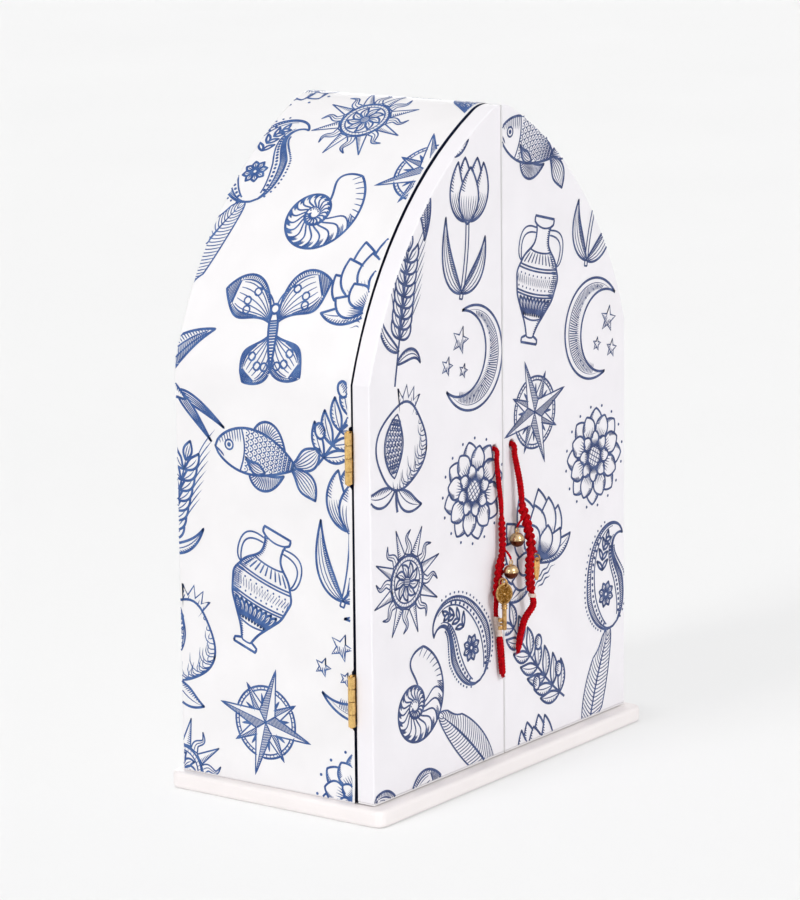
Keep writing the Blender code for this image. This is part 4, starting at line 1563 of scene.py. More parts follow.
class Engraver(Drawing):
    """Drawing that can show each motif about its middle, some 40 mm across."""

    whorl_growth = math.log(3.0) / (2 * math.pi)
    whorl_end = math.radians(800)
    jar_foot = -21.0
    jar_top = 20.5

    def show(self, motif: Motif) -> Drawing:
        """Draw a motif and return the drawing."""
        getattr(self, motif.value)()
        return self

    def sun(self) -> None:
        """Draw a disc with rings and a turned flower, with straight and waving rays by turns."""
        straight, waving, tick, petal = (Drawing() for _ in range(4))
        t = shares(30)
        ray = Blade(np.stack([10.2 + 11.0 * t, 0 * t], -1), 2.1 * (1 - t))
        straight.shape(ray.outline(), MID)
        straight.fine(ray.bars((0.03, 0.9, 13), -0.95, -0.05), 0.5)
        wave = Blade(np.stack([10.2 + 9.0 * t, 1.5 * np.sin(7.0 * t) * t ** 0.6], -1), 1.7 * (1 - t) ** 0.8)
        waving.shape(wave.outline(), MID)
        waving.fine(wave.ribs([0.0], 0.05, 0.8), 0.2)
        self.add(straight.ringed(8))
        self.add(waving.ringed(8, 22.5))
        self.shape(circle(9.6)[:-1])
        self.line(circle(7.9))
        tick.draw(np.array([[8.1, 0.0], [9.3, 0.5]]), FINE)
        self.add(tick.ringed(36))
        petal.veined(Blade.leaf((0.8, 0), (4.0, 2.6), (7.2, 0.6), 1.5), [0.0], 0.8)
        self.add(petal.ringed(9))
        self.shape(circle(1.9, count=24)[:-1], MID)
        self.hatch(circle(1.9, count=24), 30, 0.62)

    def fish(self) -> None:
        """Draw a scaled fish with ribbed fins and a forked tail."""
        for end in (8.5, -8.5):
            tail = Blade.leaf((9.5, 0), (16.0, end * 0.2), (21.0, end), 3.4, 0.62)
            self.veined(tail, (-0.66, -0.33, 0, 0.33, 0.66), 0.95)
        for top, reach in ((1, 9.0), (-1, 5.0)):
            fin = Blade.leaf((-6.0, 4.5 * top), (0.0, (6 + reach) * top), (8.0, 3.6 * top), 2.8, 0.45)
            self.veined(fin)
            self.fine(fin.bars((0.1, 0.92, 18), -0.9, 0.9, 0.08), 0.4)
        body = Blade.leaf((-20, 0), (-2, 2.5), (12.5, 0), 7.4, 0.40, 0.8)
        self.shape(body.outline(40))
        row, col = (index.reshape(-1, 1) for index in np.meshgrid(np.arange(12), np.arange(7), indexing="ij"))
        along, across = 0.34 + 0.053 * row, (col - 3 + 0.5 * (row % 2)) * 0.27
        kept = np.abs(across[:, 0]) < 0.95
        along, across = along[kept], across[kept]
        turn = np.linspace(-1.45, 1.45, 9)
        sides = np.clip(across + 0.135 * np.sin(turn), -0.98, 0.98)
        self.draw(body.at(along + 0.045 * np.cos(turn), sides), FINE, (0.8, 0.8))
        self.dots(body.at(along + 0.012, across), 0.27)
        gill = 0.29 + 0.045 * np.cos(np.linspace(-1.5, 1.5, 20))
        self.line(body.at(gill, np.linspace(-0.97, 0.97, 20)))
        self.fine(body.bars((0.04, 0.27, 9), 0.98, 0.35, 0.02), 0.2)
        self.line(circle(1.6, (-14.6, 1.6), count=24))
        self.dots((-14.6, 1.6), 0.75)
        self.draw(bow((-19.6, -0.4), (-17.5, -1.2), (-16.2, -2.6), 10), MID, (1, 0.3))
        self.veined(Blade.leaf((-7.5, -1.0), (-4, -4.5), (0.5, -4.2), 1.8, 0.6), (-0.5, 0, 0.5), 0.9)

    def lotus(self) -> None:
        """Draw an open flower with petals behind petals, on a pad of leaves."""
        for side in (-1, 1):
            a = math.radians(66 * side)
            tip = (22 * math.sin(a), -11.5 + 2 * math.cos(a))
            self.veined(Blade.leaf((0, -9), (14 * math.sin(a), -13), tip, 2.8), (0.0,), 0.95, -side, 16)
        ribs = (-0.72, -0.48, -0.24, 0.0, 0.24, 0.48, 0.72)
        petals = ((-24, 25, 5.0), (24, 25, 5.0), (0, 27, 5.4), (-58, 21, 4.6), (58, 21, 4.6), (-40, 22, 5.0),
                  (40, 22, 5.0), (-78, 16, 3.6), (78, 16, 3.6), (-18, 20, 5.0), (18, 20, 5.0),
                  (-50, 13, 3.8), (50, 13, 3.8), (0, 15.5, 4.6))
        for angle, length, half in petals:
            a = math.radians(angle)
            tip = (length * math.sin(a), -9 + length * math.cos(a))
            bend = (0.62 * length * math.sin(1.25 * a), -9 + 0.55 * length * math.cos(1.25 * a))
            self.veined(Blade.leaf((0.12 * tip[0], -9), bend, tip, half, 0.58), ribs, 0.52)
        for k, reach in enumerate((12.0, 8.0, 4.0)):
            x = np.linspace(-reach, reach, 30)
            self.draw(np.stack([x, -13.2 - 1.7 * k + 0.35 * np.sin(1.4 * x)], -1), MID, (0.1, 0.1))

    def crescent(self) -> None:
        """Draw a shaded crescent with three small stars."""
        self.shape(np.concatenate([circle(17, (0, 0), 52, 308, 70), circle(13.9, (6.6, 0), 287, 73, 60)]))
        self.draw(circle(15.4, (0.7, 0), 66, 294, 60), FINE, (0.2, 0.2))
        angle = np.radians(np.linspace(82, 278, 58))[:, None]
        depth = (0.24 + 0.14 * np.cos(angle - np.pi - 0.5)) * np.abs(np.cos(angle / 2 - np.pi / 2)) ** 0.8
        t = shares(5)
        reach = 15.0 * (1 - depth * t)
        self.fine(reach[..., None] * spokes(angle + 0.07 * t) + (0.7, 0.0), 0.15)
        self.dots(circle(14.9, (4.6, 0), 110, 250, 15), 0.38)
        points = np.where(np.arange(10) % 2, 0.42, 1.0)
        for place, size in (((8.5, 4.0), 4.6), ((13.0, -5.5), 3.2), ((3.6, -5.0), 2.4)):
            star = circle(size * points, place, 90, 414, 10)
            self.shape(star, MID)
            self.hatch(star, 60, 0.75, (0.0, 0.55))

    def feather(self) -> None:
        """Draw a long feather with slanting barbs, a notched edge and soft down at its foot."""
        t = shares(60)
        half = 6.4 * np.clip(np.sin(np.pi * np.clip((t - 0.16) / 0.84, 0, 1) ** 0.85), 0, 1) ** 0.6
        vane = Blade(bow((-9, -23), (-4, 2), (10, 23), 60), half)
        for side in (-1, 1):
            along = np.linspace(0.18, 0.93, 27)[:, None]
            notch = 1 - 0.22 * np.clip(np.sin(9.0 * along + side) - 0.75, 0, 1) * 4
            u = shares(5)
            barbs = vane.at(np.clip(along + 0.075 * u ** 1.4, 0, 1), side * u * notch)
            self.fine(barbs, 0.5)
            edge = np.linspace(0.24, 0.995, 90)
            notch = 1 - 0.22 * np.clip(np.sin(9.0 * (edge - 0.075) + side) - 0.75, 0, 1) * 4
            self.draw(vane.at(edge, side * notch), MID, (0.3, 0.8))
            u = shares(8)
            k = np.arange(9)[:, None]
            sideways = side * 4.2 * u ** 0.8 * (0.6 + 0.4 * np.sin(2.0 * k))
            curl = np.stack([sideways, 1.2 * np.sin(5 * u + k) * u], -1)
            self.fine(vane.at(0.11 + 0.010 * k + 0.05 * u) + curl, 0.2)
        self.draw(vane.at(np.linspace(0.0, 0.97, 40)), BOLD, (1, 0.2))

    def pomegranate(self) -> None:
        """Draw a round fruit with a crown, split to show its seeds, on a leafy stem."""
        for side in (-1, 1):
            leaf = Blade.leaf((0, -12), (6 * side, -19), (15 * side, -17), 3.0)
            self.veined(leaf, (0.0,), 0.95, side, 14)
        self.draw(bow((0, -12), (0.6, -17), (2.5, -20.5)), BOLD * 1.3, EVEN)
        crown = np.array([[-3.4, 10.5], [-6.0, 18.0], [-2.9, 15.4], [-1.6, 19.6], [0.2, 15.8], [2.4, 19.4],
                          [3.1, 15.2], [6.0, 17.4], [3.4, 10.5]])
        self.shape(crown)
        self.hatch(crown, 84, 0.85, (0, 0.6))
        turn = np.radians(np.linspace(0, 360, 61))
        reach = 13.2 + 0.5 * np.cos(4 * turn) + 0.8 * np.exp(-((turn - np.pi / 2) / 0.35) ** 2)
        body = circle(reach, count=61)[:-1]
        self.shape(body)
        self.hatch(body, -28, 0.95, (0.80, 1.0), -0.10)
        split = Blade.leaf((-4.5, 10.0), (-5.5, 0), (-1.5, -10.0), 5.0, 0.5, 0.8)
        self.shape(split.outline(), MID)
        self.draw(split.ribs([-0.86, 0.86], 0.05, 0.95, 30), FINE, (0.3, 0.3))
        row, col = np.meshgrid(np.arange(10), np.arange(-2, 3), indexing="ij")
        along, across = 0.13 + 0.083 * row, (col + 0.5 * (row % 2)) * 0.36
        kept = np.abs(across) < 0.74
        seeds = split.at(along[kept], across[kept])
        self.draw(seeds[:, None] + circle(1.0, count=13) * (0.80, 0.98), FINE, EVEN)
        self.dots(seeds + (0.15, -0.2), 0.36)

    def butterfly(self) -> None:
        """Draw an open butterfly with veined and bordered wings."""
        half = Drawing()
        wings = (((0.8, -1), (3, -9), (11.5, -15.5), 6.2, 0.60), ((0.8, 2), (6, 12), (20, 15.5), 7.4, 0.66))
        for start, bend, stop, width, peak in wings:
            wing = Blade.leaf(start, bend, stop, width, peak, 0.85)
            half.shape(wing.outline(40))
            half.fine(wing.ribs((-0.6, -0.3, 0, 0.3, 0.6), 0.1, 0.80, 12), 0.6)
            for side in (-1, 1):
                border = wing.at(np.linspace(0.30, 0.85, 30), side * np.linspace(0.80, 0.72, 30))
                half.draw(border, MID, (0.3, 0.3))
            half.line(wing.at(0.85, np.linspace(-0.72, 0.72, 20)))
            for side in (-1, 1):
                half.draw(wing.bars((0.32, 0.97, 26), side, 0.80 * side), FINE, EVEN)
            half.draw(wing.bars((0.87, 0.99, 7), -0.95, 0.95, 0, 8), FINE, EVEN)
            spots = wing.at(np.array([0.55, 0.62, 0.55]), np.array([0.45, -0.15, -0.55]))
            half.line(np.stack([circle(1.3, spot, count=20) for spot in spots]))
        self.add(half)
        self.add(half, mirror=True)
        body = Blade.leaf((0, 6.5), (0, 0), (0, -12), 1.7, 0.35, 0.7)
        self.shape(body.outline())
        self.line(body.bars((0.22, 0.95, 16), -1, 1, 0, 6))
        self.shape(circle(1.6, (0, 7.4), count=24)[:-1])
        for side in (-1, 1):
            self.draw(bow((0.6 * side, 8.6), (2 * side, 13), (6 * side, 14.5), 16), MID, (1, 0.6))
            self.dots((6.2 * side, 14.6), 0.65)

    def compass(self) -> None:
        """Draw a star of sixteen half-shaded points over two rings."""
        tick = Drawing()
        self.line(circle(12.4, count=80))
        self.draw(circle(13.8, count=80), BOLD, EVEN)
        tick.draw(np.array([[12.4, 0.0], [13.8, 0.0]]), FINE, EVEN)
        self.add(tick.ringed(48))
        for count, first, tip, waist in ((8, 22.5, 11.0, 3.0), (4, 45, 16.5, 4.2), (4, 0, 21.5, 5.2)):
            spread = math.radians(180 / count)
            for k in range(count):
                a = math.radians(first + 360 * k / count)
                reach = np.array([[0.0], [waist], [tip], [waist]])
                kite = reach * spokes(a + spread * np.array([0, 1, 0, -1]))
                sides = [np.linspace(kite[i], kite[(i + 1) % 4], 10, endpoint=False) for i in range(4)]
                outline = np.concatenate(sides)
                self.cover(outline)
                self.line(np.concatenate([outline, outline[:1]]))
                self.draw(np.linspace(kite[0], kite[2], 12), FINE, EVEN)
                self.hatch(kite[[0, 2, 3]], math.degrees(a) + 62, 0.62)

    def tulip(self) -> None:
        """Draw a tulip head on a stem with two long leaves."""
        self.shape(Blade.stem((0, 2), (1.5, -10), (-1, -23), 0.8, 41).outline(), MID)
        for side, top, reach in ((-1, 3.0, 11.5), (1, -3.0, 10.0)):
            leaf = Blade.leaf((-0.8, -21), (reach * side, -16), (reach * 1.05 * side, top), 2.9, 0.42)
            self.veined(leaf, (-0.5, 0, 0.5), 0.9)
            self.fine(leaf.bars((0.12, 0.8, 26), side, 0.3 * side, 0.04), 0.15)
        ribs = (-0.75, -0.5, -0.25, 0.0, 0.25, 0.5, 0.75)
        petals = (((0, 2), (-3.5, 14), (-3.4, 22), 4.0, 0.6), ((0, 2), (3.5, 14), (3.4, 22), 4.0, 0.6),
                  ((-1, 2), (-9.0, 9), (-7.0, 20.5), 4.0, 0.55), ((1, 2), (9.0, 9), (7.0, 20.5), 4.0, 0.55),
                  ((0, 1), (0, 10), (0, 19.0), 5.4, 0.5))
        for start, bend, stop, half, reach in petals:
            petal = Blade.leaf(start, bend, stop, half, 0.45, 0.85)
            self.veined(petal, ribs, reach)
            self.fine(petal.bars((0.62, 0.93, 8), 0.97, 0.45, -0.05), 0.2)

    def paisley(self) -> None:
        """Draw a curled drop with a ticked border, rows of dots and a small flower."""
        petal = Drawing()
        t = shares(80)
        step = spokes(np.radians(96 - 20 * t + 175 * t ** 3.0)) * 44 / 79
        rise = np.sqrt(np.clip(1 - (1 - np.clip(t / 0.34, 0, 1)) ** 2, 0, 1))
        fall = 1 - np.clip((t - 0.34) / 0.66, 0, 1) ** 1.25
        drop = Blade(np.cumsum(step, 0) - (1.0, 21.0), 11.0 * rise * fall)
        self.shape(drop.outline(70))
        for side in (-1, 1):
            self.draw(drop.ribs([0.80 * side], 0.02, 0.96, 60), MID, (1, 0.5))
            self.draw(drop.ribs([0.55 * side], 0.06, 0.86, 60), MID, (1, 0.4))
            self.draw(drop.bars((0.02, 0.9, 62), 0.98 * side, 0.82 * side), FINE, EVEN)
            self.dots(drop.at(np.linspace(0.08, 0.72, 17), 0.675 * side), 0.55)
            along = np.linspace(0.02, 0.8, 26)
            out = looked_up(along, drop.shares, drop.columns[2:4]).T
            self.dots(drop.at(along, side) + 1.5 * side * out, 0.42)
        petal.veined(Blade.leaf((0.9, 0), (2.6, 0), (4.4, 0), 1.15), [0.0], 0.8)
        self.add(petal.ringed(8), 0.0, drop.at(0.29))
        self.line(circle(0.9, drop.at(0.29), count=16))
        for along in (0.50, 0.58, 0.66, 0.73):
            for side in (-1, 1):
                start, stop = drop.at(along), drop.at(along + 0.075, 0.42 * side)
                self.veined(Blade.leaf(start, (start + stop) / 2 + 0.4 * side, stop, 0.75))

    def wheat(self) -> None:
        """Draw an ear of wheat with bearded grains and two narrow leaves."""
        stem = Blade.stem((4, -24), (1, -6), (-3, 20), 0.4, 60)
        self.draw(stem.ribs([0.0], 0, 0.95, 50), BOLD, (1, 0.5))
        for start, bend, stop in (((3.0, -17), (10, -9), (15, -14)), ((2.4, -13), (-8, -12), (-12, -3))):
            self.veined(Blade.leaf(start, bend, stop, 1.7, 0.35), (0.0,), 0.95, 1.0, 16)
        for k in range(8):
            foot = stem.at(0.38 + 0.074 * k)
            for side in (-1, 1):
                tip = foot + (4.6 * side - 0.9, 6.4)
                bend, end = tip + (1.4 * side, 4.0), tip + (4.4 * side - 1.4, 9.5)
                self.fine(bow(tip, bend, end, 8), 0.1)
                self.veined(Blade.leaf(foot, foot + (4.2 * side, 2.2), tip, 1.75), (0.1,), 0.75)
        top = stem.at(0.96)
        grain = Blade.leaf(top, top + (-0.3, 3), top + (-1.2, 6.6), 1.7)
        self.veined(grain, (-0.3, 0.3), 0.8)

    def whorl(self, angle: Array, share: Array | float) -> Array:
        """Give places on a coil whose radius grows threefold each turn.

        Args:
            angle: how far round.
            share: share of the way from the whorl within to the outer line.

        Returns:
            The places.
        """
        reach = 19.5 * np.exp(self.whorl_growth * (angle - self.whorl_end)) * (1 / 3 + (2 / 3) * share)
        return reach[..., None] * spokes(angle - 0.5) + (3.0, 0.0)

    def snail(self) -> None:
        """Draw a coiled shell cut open to show its chambers."""
        self.draw(self.whorl(np.linspace(math.radians(60), self.whorl_end, 160), 1.0), BOLD, (0.3, 1))
        u = shares(12)
        rooms = np.radians(np.concatenate([np.arange(200, 620, 20), np.arange(620, 730, 18)]))[:, None]
        self.line(self.whorl(rooms + 0.30 * np.sin(np.pi * u), u))
        shades = (rooms + np.radians([3.0, 6.0, 9.0])).reshape(-1, 1)
        part = np.linspace(0.72, 1.0, 5)
        self.draw(self.whorl(shades + 0.30 * np.sin(np.pi * part), part), FINE, (0.2, 1))
        mouth = shares(30)
        self.draw(self.whorl(self.whorl_end + 0.42 * np.sin(np.pi * mouth), mouth), BOLD, EVEN)
        rim = np.linspace(math.radians(735), self.whorl_end, 9)[:, None]
        self.draw(self.whorl(rim + 0.35 * (1 - part), part), FINE, (0.2, 1))
        self.dots(self.whorl(np.radians(np.arange(60, 200, 28.0)), 0.6), 0.3)

    def jar_share(self, height: Array | float) -> Array | float:
        """Share of the way from the jar's foot to its top."""
        return (height - self.jar_foot) / (self.jar_top - self.jar_foot)

    def amphora(self) -> None:
        """Draw a two-handled jar with ticked, zigzag and leaf bands."""
        share = self.jar_share
        heights = np.array([-21, -19.5, -18.5, -15, -6, 1.5, 7.5, 10.5, 13, 17.5, 18.6, 20.5])
        halves = np.array([4.6, 4.6, 2.0, 3.6, 10.4, 12.4, 9.0, 4.8, 3.6, 3.8, 5.6, 5.6])
        t = np.linspace(self.jar_foot, self.jar_top, 120)
        half = np.interp(t, heights, halves)
        smooth = np.convolve(np.pad(half, 4, mode="edge"), np.ones(9) / 9, "valid")
        body = Blade(np.stack([0 * t, t], -1), np.where(np.abs(t) < 17.5, smooth, half))
        for side in (-1, 1):
            for reach in (0.0, 1.5):
                elbow = ((13.0 - reach) * side, 9.5)
                upper = bow((3.6 * side, 16.5 - reach), ((13.5 - reach) * side, 18.5 - 2 * reach), elbow, 16)
                lower = bow(elbow, ((12.6 - reach) * side, 5.5), ((10.0 - 0.3 * reach) * side, 5.2), 12)
                self.line(np.concatenate([upper, lower[1:]]))
        outline = body.at(shares(90), 1.0)
        self.shape(np.concatenate([outline, outline[::-1] * (-1.0, 1.0)]))
        across = np.linspace(-1, 1, 24)
        for z in (-18.3, -12.5, -5.0, -4.0, 3.4, 4.4, 9.6, 17.8):
            self.line(body.at(share(z - 0.9 * (1 - across ** 2)), across))
        across = np.linspace(-1, 1, 41)
        zigzag = -1.5 + 2.6 * (np.arange(41) % 2) - 0.9 * (1 - across ** 2)
        self.line(body.at(share(zigzag), 0.98 * across))
        across = np.linspace(-0.9, 0.9, 19)
        spots = -2.6 + 4.4 * (np.arange(19) % 2) - 0.9 * (1 - across ** 2)
        self.dots(body.at(share(spots), across), 0.36)
        for k in np.linspace(-0.84, 0.84, 9):
            foot, tip = body.at(share(-12.0), k), body.at(share(-6.2), k)
            self.veined(Blade.leaf(foot, (foot + tip) / 2, tip, 0.95, 0.6), [0.0], 0.8)
            foot, tip = body.at(share(5.0), k), body.at(share(8.6), k * 0.95)
            self.draw(np.linspace(foot, tip, 6), MID, (1, 0.2))
        self.fine(body.bars((share(-17.5), share(17.0), 52), 0.98, 0.70, -0.004), 0.1)

    def olive(self) -> None:
        """Draw a branch with paired leaves, shaded on one half, and three small fruits."""
        stem = Blade.stem((-16, -17), (-2, -6), (14, 18), 0.3, 60)
        self.draw(stem.ribs([0.0], 0, 1, 50), BOLD, (1.2, 0.5))
        for k, along in enumerate(np.linspace(0.10, 0.94, 7)):
            foot = stem.at(along)
            for side in (-1, 1):
                a = math.radians(52 + side * (46 - 3 * k))
                tip = foot + (11.5 - 0.4 * k) * np.array([math.cos(a), math.sin(a)])
                bend = (foot + tip) / 2 + side * 1.6 * np.array([-math.sin(a), math.cos(a)])
                self.veined(Blade.leaf(foot, bend, tip, 2.0, 0.45), (0.0,), 0.95, side, 8, 0.08)
        for along, side in ((0.24, 1), (0.45, -1), (0.62, 1)):
            foot = stem.at(along)
            centre = foot + (-3.6 * side - 0.5, 3.8 * side + 0.8)
            fruit = centre + circle(1.0, count=31)[:-1] * (1.9, 2.5)
            self.line(np.linspace(foot, centre, 6))
            self.shape(fruit)
            self.hatch(fruit, 40, 0.62, (0.45, 1.0))

    def rosette(self) -> None:
        """Draw a round flower of three rings of petals with a netted middle."""
        dot = Drawing()
        dot.dots((20.0, 0.0), 0.6)
        self.add(dot.ringed(16, 11.25))
        for first, foot, tip, half in ((22.5, 6, 19.0, 4.4), (0.0, 5, 17.0, 4.2), (22.5, 3, 10.2, 2.6)):
            petal = Blade.leaf((foot, 0), ((foot + tip) / 2, 0), (tip, 0), half, 0.6, 0.8)
            for k in range(8):
                turned = Blade(np.stack(petal.columns[:2], -1) @ turn_matrix(first + 45 * k), petal.columns[4])
                self.veined(turned, (-0.6, -0.3, 0.0, 0.3, 0.6), 0.55)
                self.fine(turned.bars((0.6, 0.95, 8), 0.97, 0.5, 0.04), 0.2)
        self.shape(circle(4.3)[:-1])
        self.hatch(circle(4.2), 45, 1.7)
        self.hatch(circle(4.2), -45, 1.7)

    def swallow(self) -> None:
        """Draw a flying swallow with long feathered wings and a forked tail."""
        for stop, bend in (((20, -15), (11, -6)), ((14, -19), (8, -9))):
            self.veined(Blade.leaf((3, -2), bend, stop, 1.5, 0.3), (-0.4, 0.0, 0.4), 0.9)
        wings = (((-3, 3), (3, 14), (19, 17), 4.0), ((-5, -1), (-14, -8), (-13, -21), 3.8))
        for start, bend, stop, half in wings:
            wing = Blade.leaf(start, bend, stop, half, 0.35, 0.9)
            self.shape(wing.outline(40))
            self.draw(wing.ribs((-0.45, 0.15), 0.05, 0.92, 20), MID, (1, 0.3))
            self.fine(wing.bars((0.10, 0.9, 26), -0.98, -0.45, 0.05), 0.8)
            self.fine(wing.bars((0.10, 0.86, 24), -0.45, 0.15, 0.05), 0.6)
            self.fine(wing.bars((0.06, 0.9, 24), 0.98, 0.3, 0.02), 0.6)
        body = Blade.leaf((-14.5, 8.0), (-4, 3), (6, -5), 3.6, 0.40, 0.8)
        self.shape(body.outline(40))
        self.fine(body.bars((0.12, 0.95, 26), 0.98, 0.25, 0.02), 0.3)
        self.fine(body.bars((0.35, 0.9, 14), -0.98, -0.55, 0.03), 0.2)
        self.shape(np.array([[-14.0, 8.9], [-14.4, 7.0], [-18.2, 8.6]]), MID)
        self.line(circle(0.9, (-11.6, 6.6), count=16))
        self.dots((-11.6, 6.6), 0.4)


@dataclass
class Print:
    """Blue line print on one face: motifs in columns, each with its place across and its share of a step up."""

    side: Side
    arch: ArchLine
    ink: Ink
    first: int
    columns: Sequence[Span]
    pitch: float = 51.0
    shift: float = 2.0
    margin: float = 0.45 * MM
    lift: float = 0.04 * MM
    layer: float = 0.001 * MM
    layers: int = 40
    thinnest: float = 0.03
    turns: Sequence[float] = (-14.0, 9.0, 18.0, -7.0, 24.0, -20.0, 4.0)
    name: str = "print"
    body: str = "case"
    height: float = 300.0

    def places(self, flat: Array, lift: Array) -> Array:
        """Carry places on the flat sheet, in millimetres, onto the face, lifted clear of it."""
        raise NotImplementedError

    def inside(self, flat: Array) -> Array:
        """Give how far places on the flat sheet are inside the face, in metres."""
        raise NotImplementedError

    def sheet(self) -> Drawing:
        """Set the motifs: each is the fifth on from the one below it and the seventh on from the one beside it.

        Returns:
            The whole sheet.
        """
        motifs = list(Motif)
        pictures = {motif: Engraver().show(motif) for motif in motifs}
        whole = Drawing()
        for column, (across, phase) in enumerate(self.columns):
            for row in range(-1, int(self.height / self.pitch) + 2):
                k = self.first + 5 * row + 7 * column
                motif = motifs[k % len(motifs)]
                x = across + self.shift * math.sin(4.1 * k)
                y = self.pitch * (row + phase) + self.shift * math.sin(2.7 * k)
                whole.add(pictures[motif], self.turns[k % len(self.turns)], (x, y), motif.size, k % 3 == 1)
        return whole

    @staticmethod
    def trimmed(kept: Array, moved: Array, deep: Array, out: Array) -> Array:
        """Draw points outside the face back to its edge: deep / (deep - out) of the way from the kept ones."""
        share = np.clip(deep / np.where(deep == out, 1.0, np.abs(deep - out)), 0, 1)[..., None]
        return np.where(((out < 0) & (deep >= 0))[..., None], kept + share * (moved - kept), moved)

    def ribbons(self, drawing: Drawing) -> Shell:
        """Turn strokes into flat ribbons trimmed to the face.

        A stroke's two edges lie half its width to each side. Where one edge is outside the face it is drawn in
        to the face's edge; where a step leaves the face its outer end is drawn back. Each stroke lies in its
        own layer, so that no two lie in one plane where they cross.

        Args:
            drawing: the strokes on the flat sheet.

        Returns:
            The ribbons, facing out.
        """
        corners, layers, drawn = [], [], 0
        for line, width in drawing.strokes:
            off = leftward(line) * np.maximum(width, self.thinnest)[..., None] / 2
            edges = np.stack([line - off, line + off])
            deep = self.inside(edges)
            for a, b in ((0, 1), (1, 0)):
                edges[a] = self.trimmed(edges[b], edges[a], deep[b], deep[a])
            deep = deep.max(0)
            start, stop, low, high = edges[:, :, :-1], edges[:, :, 1:], deep[:, :-1], deep[:, 1:]
            begin, end = self.trimmed(stop, start, high, low), self.trimmed(start, stop, low, high)
            keep = ((low > 0) | (high > 0)) & ((width[:, :-1] > 0) | (width[:, 1:] > 0))
            corners.append(np.stack([begin[0], end[0], end[1], begin[1]], 2)[keep])
            layers.append((drawn + np.nonzero(keep)[0]) % self.layers)
            drawn += len(line)
        flat = np.column_stack([np.concatenate(corners).reshape(-1, 2), np.repeat(np.concatenate(layers), 4)])
        unique, index = np.unique(np.round(flat, 5), axis=0, return_inverse=True)
        return Shell(self.places(unique[:, :2], self.lift + self.layer * unique[:, 2]), index.reshape(-1, 4))

    def build(self) -> None:
        """Draw the sheet and lay it on the face."""
        make_piece(self.name, self.ribbons(self.sheet()), self.ink, self.body, smooth=False)


@dataclass
class WallPrint(Print):
    """Print on one wall and its half of the roof, across from the left seen from outside and up the arch."""

    front: float = CASE_FRONT
    rear: float = CASE_REAR
    covering: float = COVERING
    foot_gap: float = 0.2 * MM

    def __post_init__(self) -> None:
        """Name the piece and take the arch's length as its height."""
        self.name, self.height = self.side.label + "_case_print", self.arch.reach / MM

    def places(self, flat: Array, lift: Array) -> Array:
        """Wrap places up the arch, lifted clear of the covering.

        Args:
            flat: places on the flat sheet.
            lift: how far above the covering each one is.

        Returns:
            The places on the wall.
        """
        across, along = flat.T * MM
        x, z = self.arch.at(np.clip(along, 0, self.arch.reach), self.covering + lift)
        y = self.rear - across if self.side is Side.LEFT else self.front + across
        return np.stack([-self.side.value * x, y, z], -1)

    def inside(self, flat: Array) -> Array:
        """Give the least of the lengths to the front, the rear, the foot and the apex.

        Args:
            flat: places on the flat sheet.

        Returns:
            The lengths.
        """
        across, along = flat[..., 0] * MM, flat[..., 1] * MM
        ends = [along - self.foot_gap, self.arch.reach - along]
        return np.minimum.reduce([across, self.rear - self.front - across, *ends]) - self.margin


@dataclass
class DoorPrint(Print):
    """Print on one door's front, with a bare ring round the pull's hole."""

    door_front: float = DOOR_FRONT
    door_foot: float = DOOR_FOOT
    meeting: float = 0.3 * MM
    hole: tuple[float, float, float] = (6.0 * MM, HOLE_HEIGHT, 1.9 * MM)

    def __post_init__(self) -> None:
        """Name the piece, which rides on its door."""
        self.name, self.body = self.side.door + "_print", self.side.door

    def places(self, flat: Array, lift: Array) -> Array:
        """Lay places on the door's front."""
        return np.stack([flat[:, 0] * MM, self.door_front - lift, flat[:, 1] * MM], -1)

    def inside(self, flat: Array) -> Array:
        """Give the least of the lengths to the arch, the foot, the meeting edge and the hole's ring.

        Args:
            flat: places on the flat sheet.

        Returns:
            The lengths.
        """
        x, z = flat[..., 0] * MM, flat[..., 1] * MM
        out = self.side.value * x
        ring = np.hypot(out - self.hole[0], z - self.hole[1]) - self.hole[2]
        edge = np.minimum.reduce([self.arch.inside(x, z), z - self.door_foot, out - self.meeting])
        return np.minimum(edge - self.margin, ring)


# Studio


class FloorLight(Enum):
    """How a lamp takes the floor: with everything else, never, or alone."""

    ALSO = ""
    NEVER = "EXCLUDE"
    ONLY = "INCLUDE"


@dataclass(frozen=True)
class Sun:
    """One distant lamp: its strength, its spread and direction in degrees, and how it takes the floor."""

    name: str
    strength: float
    spread: float
    azimuth: float
    height: float
    floor: FloorLight = FloorLight.ALSO

    def build(self, floor: bpy.types.Object) -> None:
        """Hang the lamp.

        Args:
            floor: the studio's floor.
        """
        lamp = bpy.data.lights.new(self.name, "SUN")
        lamp.energy = self.strength
        lamp.angle = math.radians(self.spread)
        holder = bpy.data.objects.new(self.name, lamp)
        holder.rotation_euler = (math.radians(90.0 - self.height), 0.0, math.radians(self.azimuth))
        bpy.context.scene.collection.objects.link(holder)
        if self.floor is not FloorLight.ALSO:
            listed = bpy.data.collections.new(self.name + "_floor")
            listed.objects.link(floor)
            holder.light_linking.receiver_collection = listed
            listed.collection_objects[0].light_linking.link_state = self.floor.value


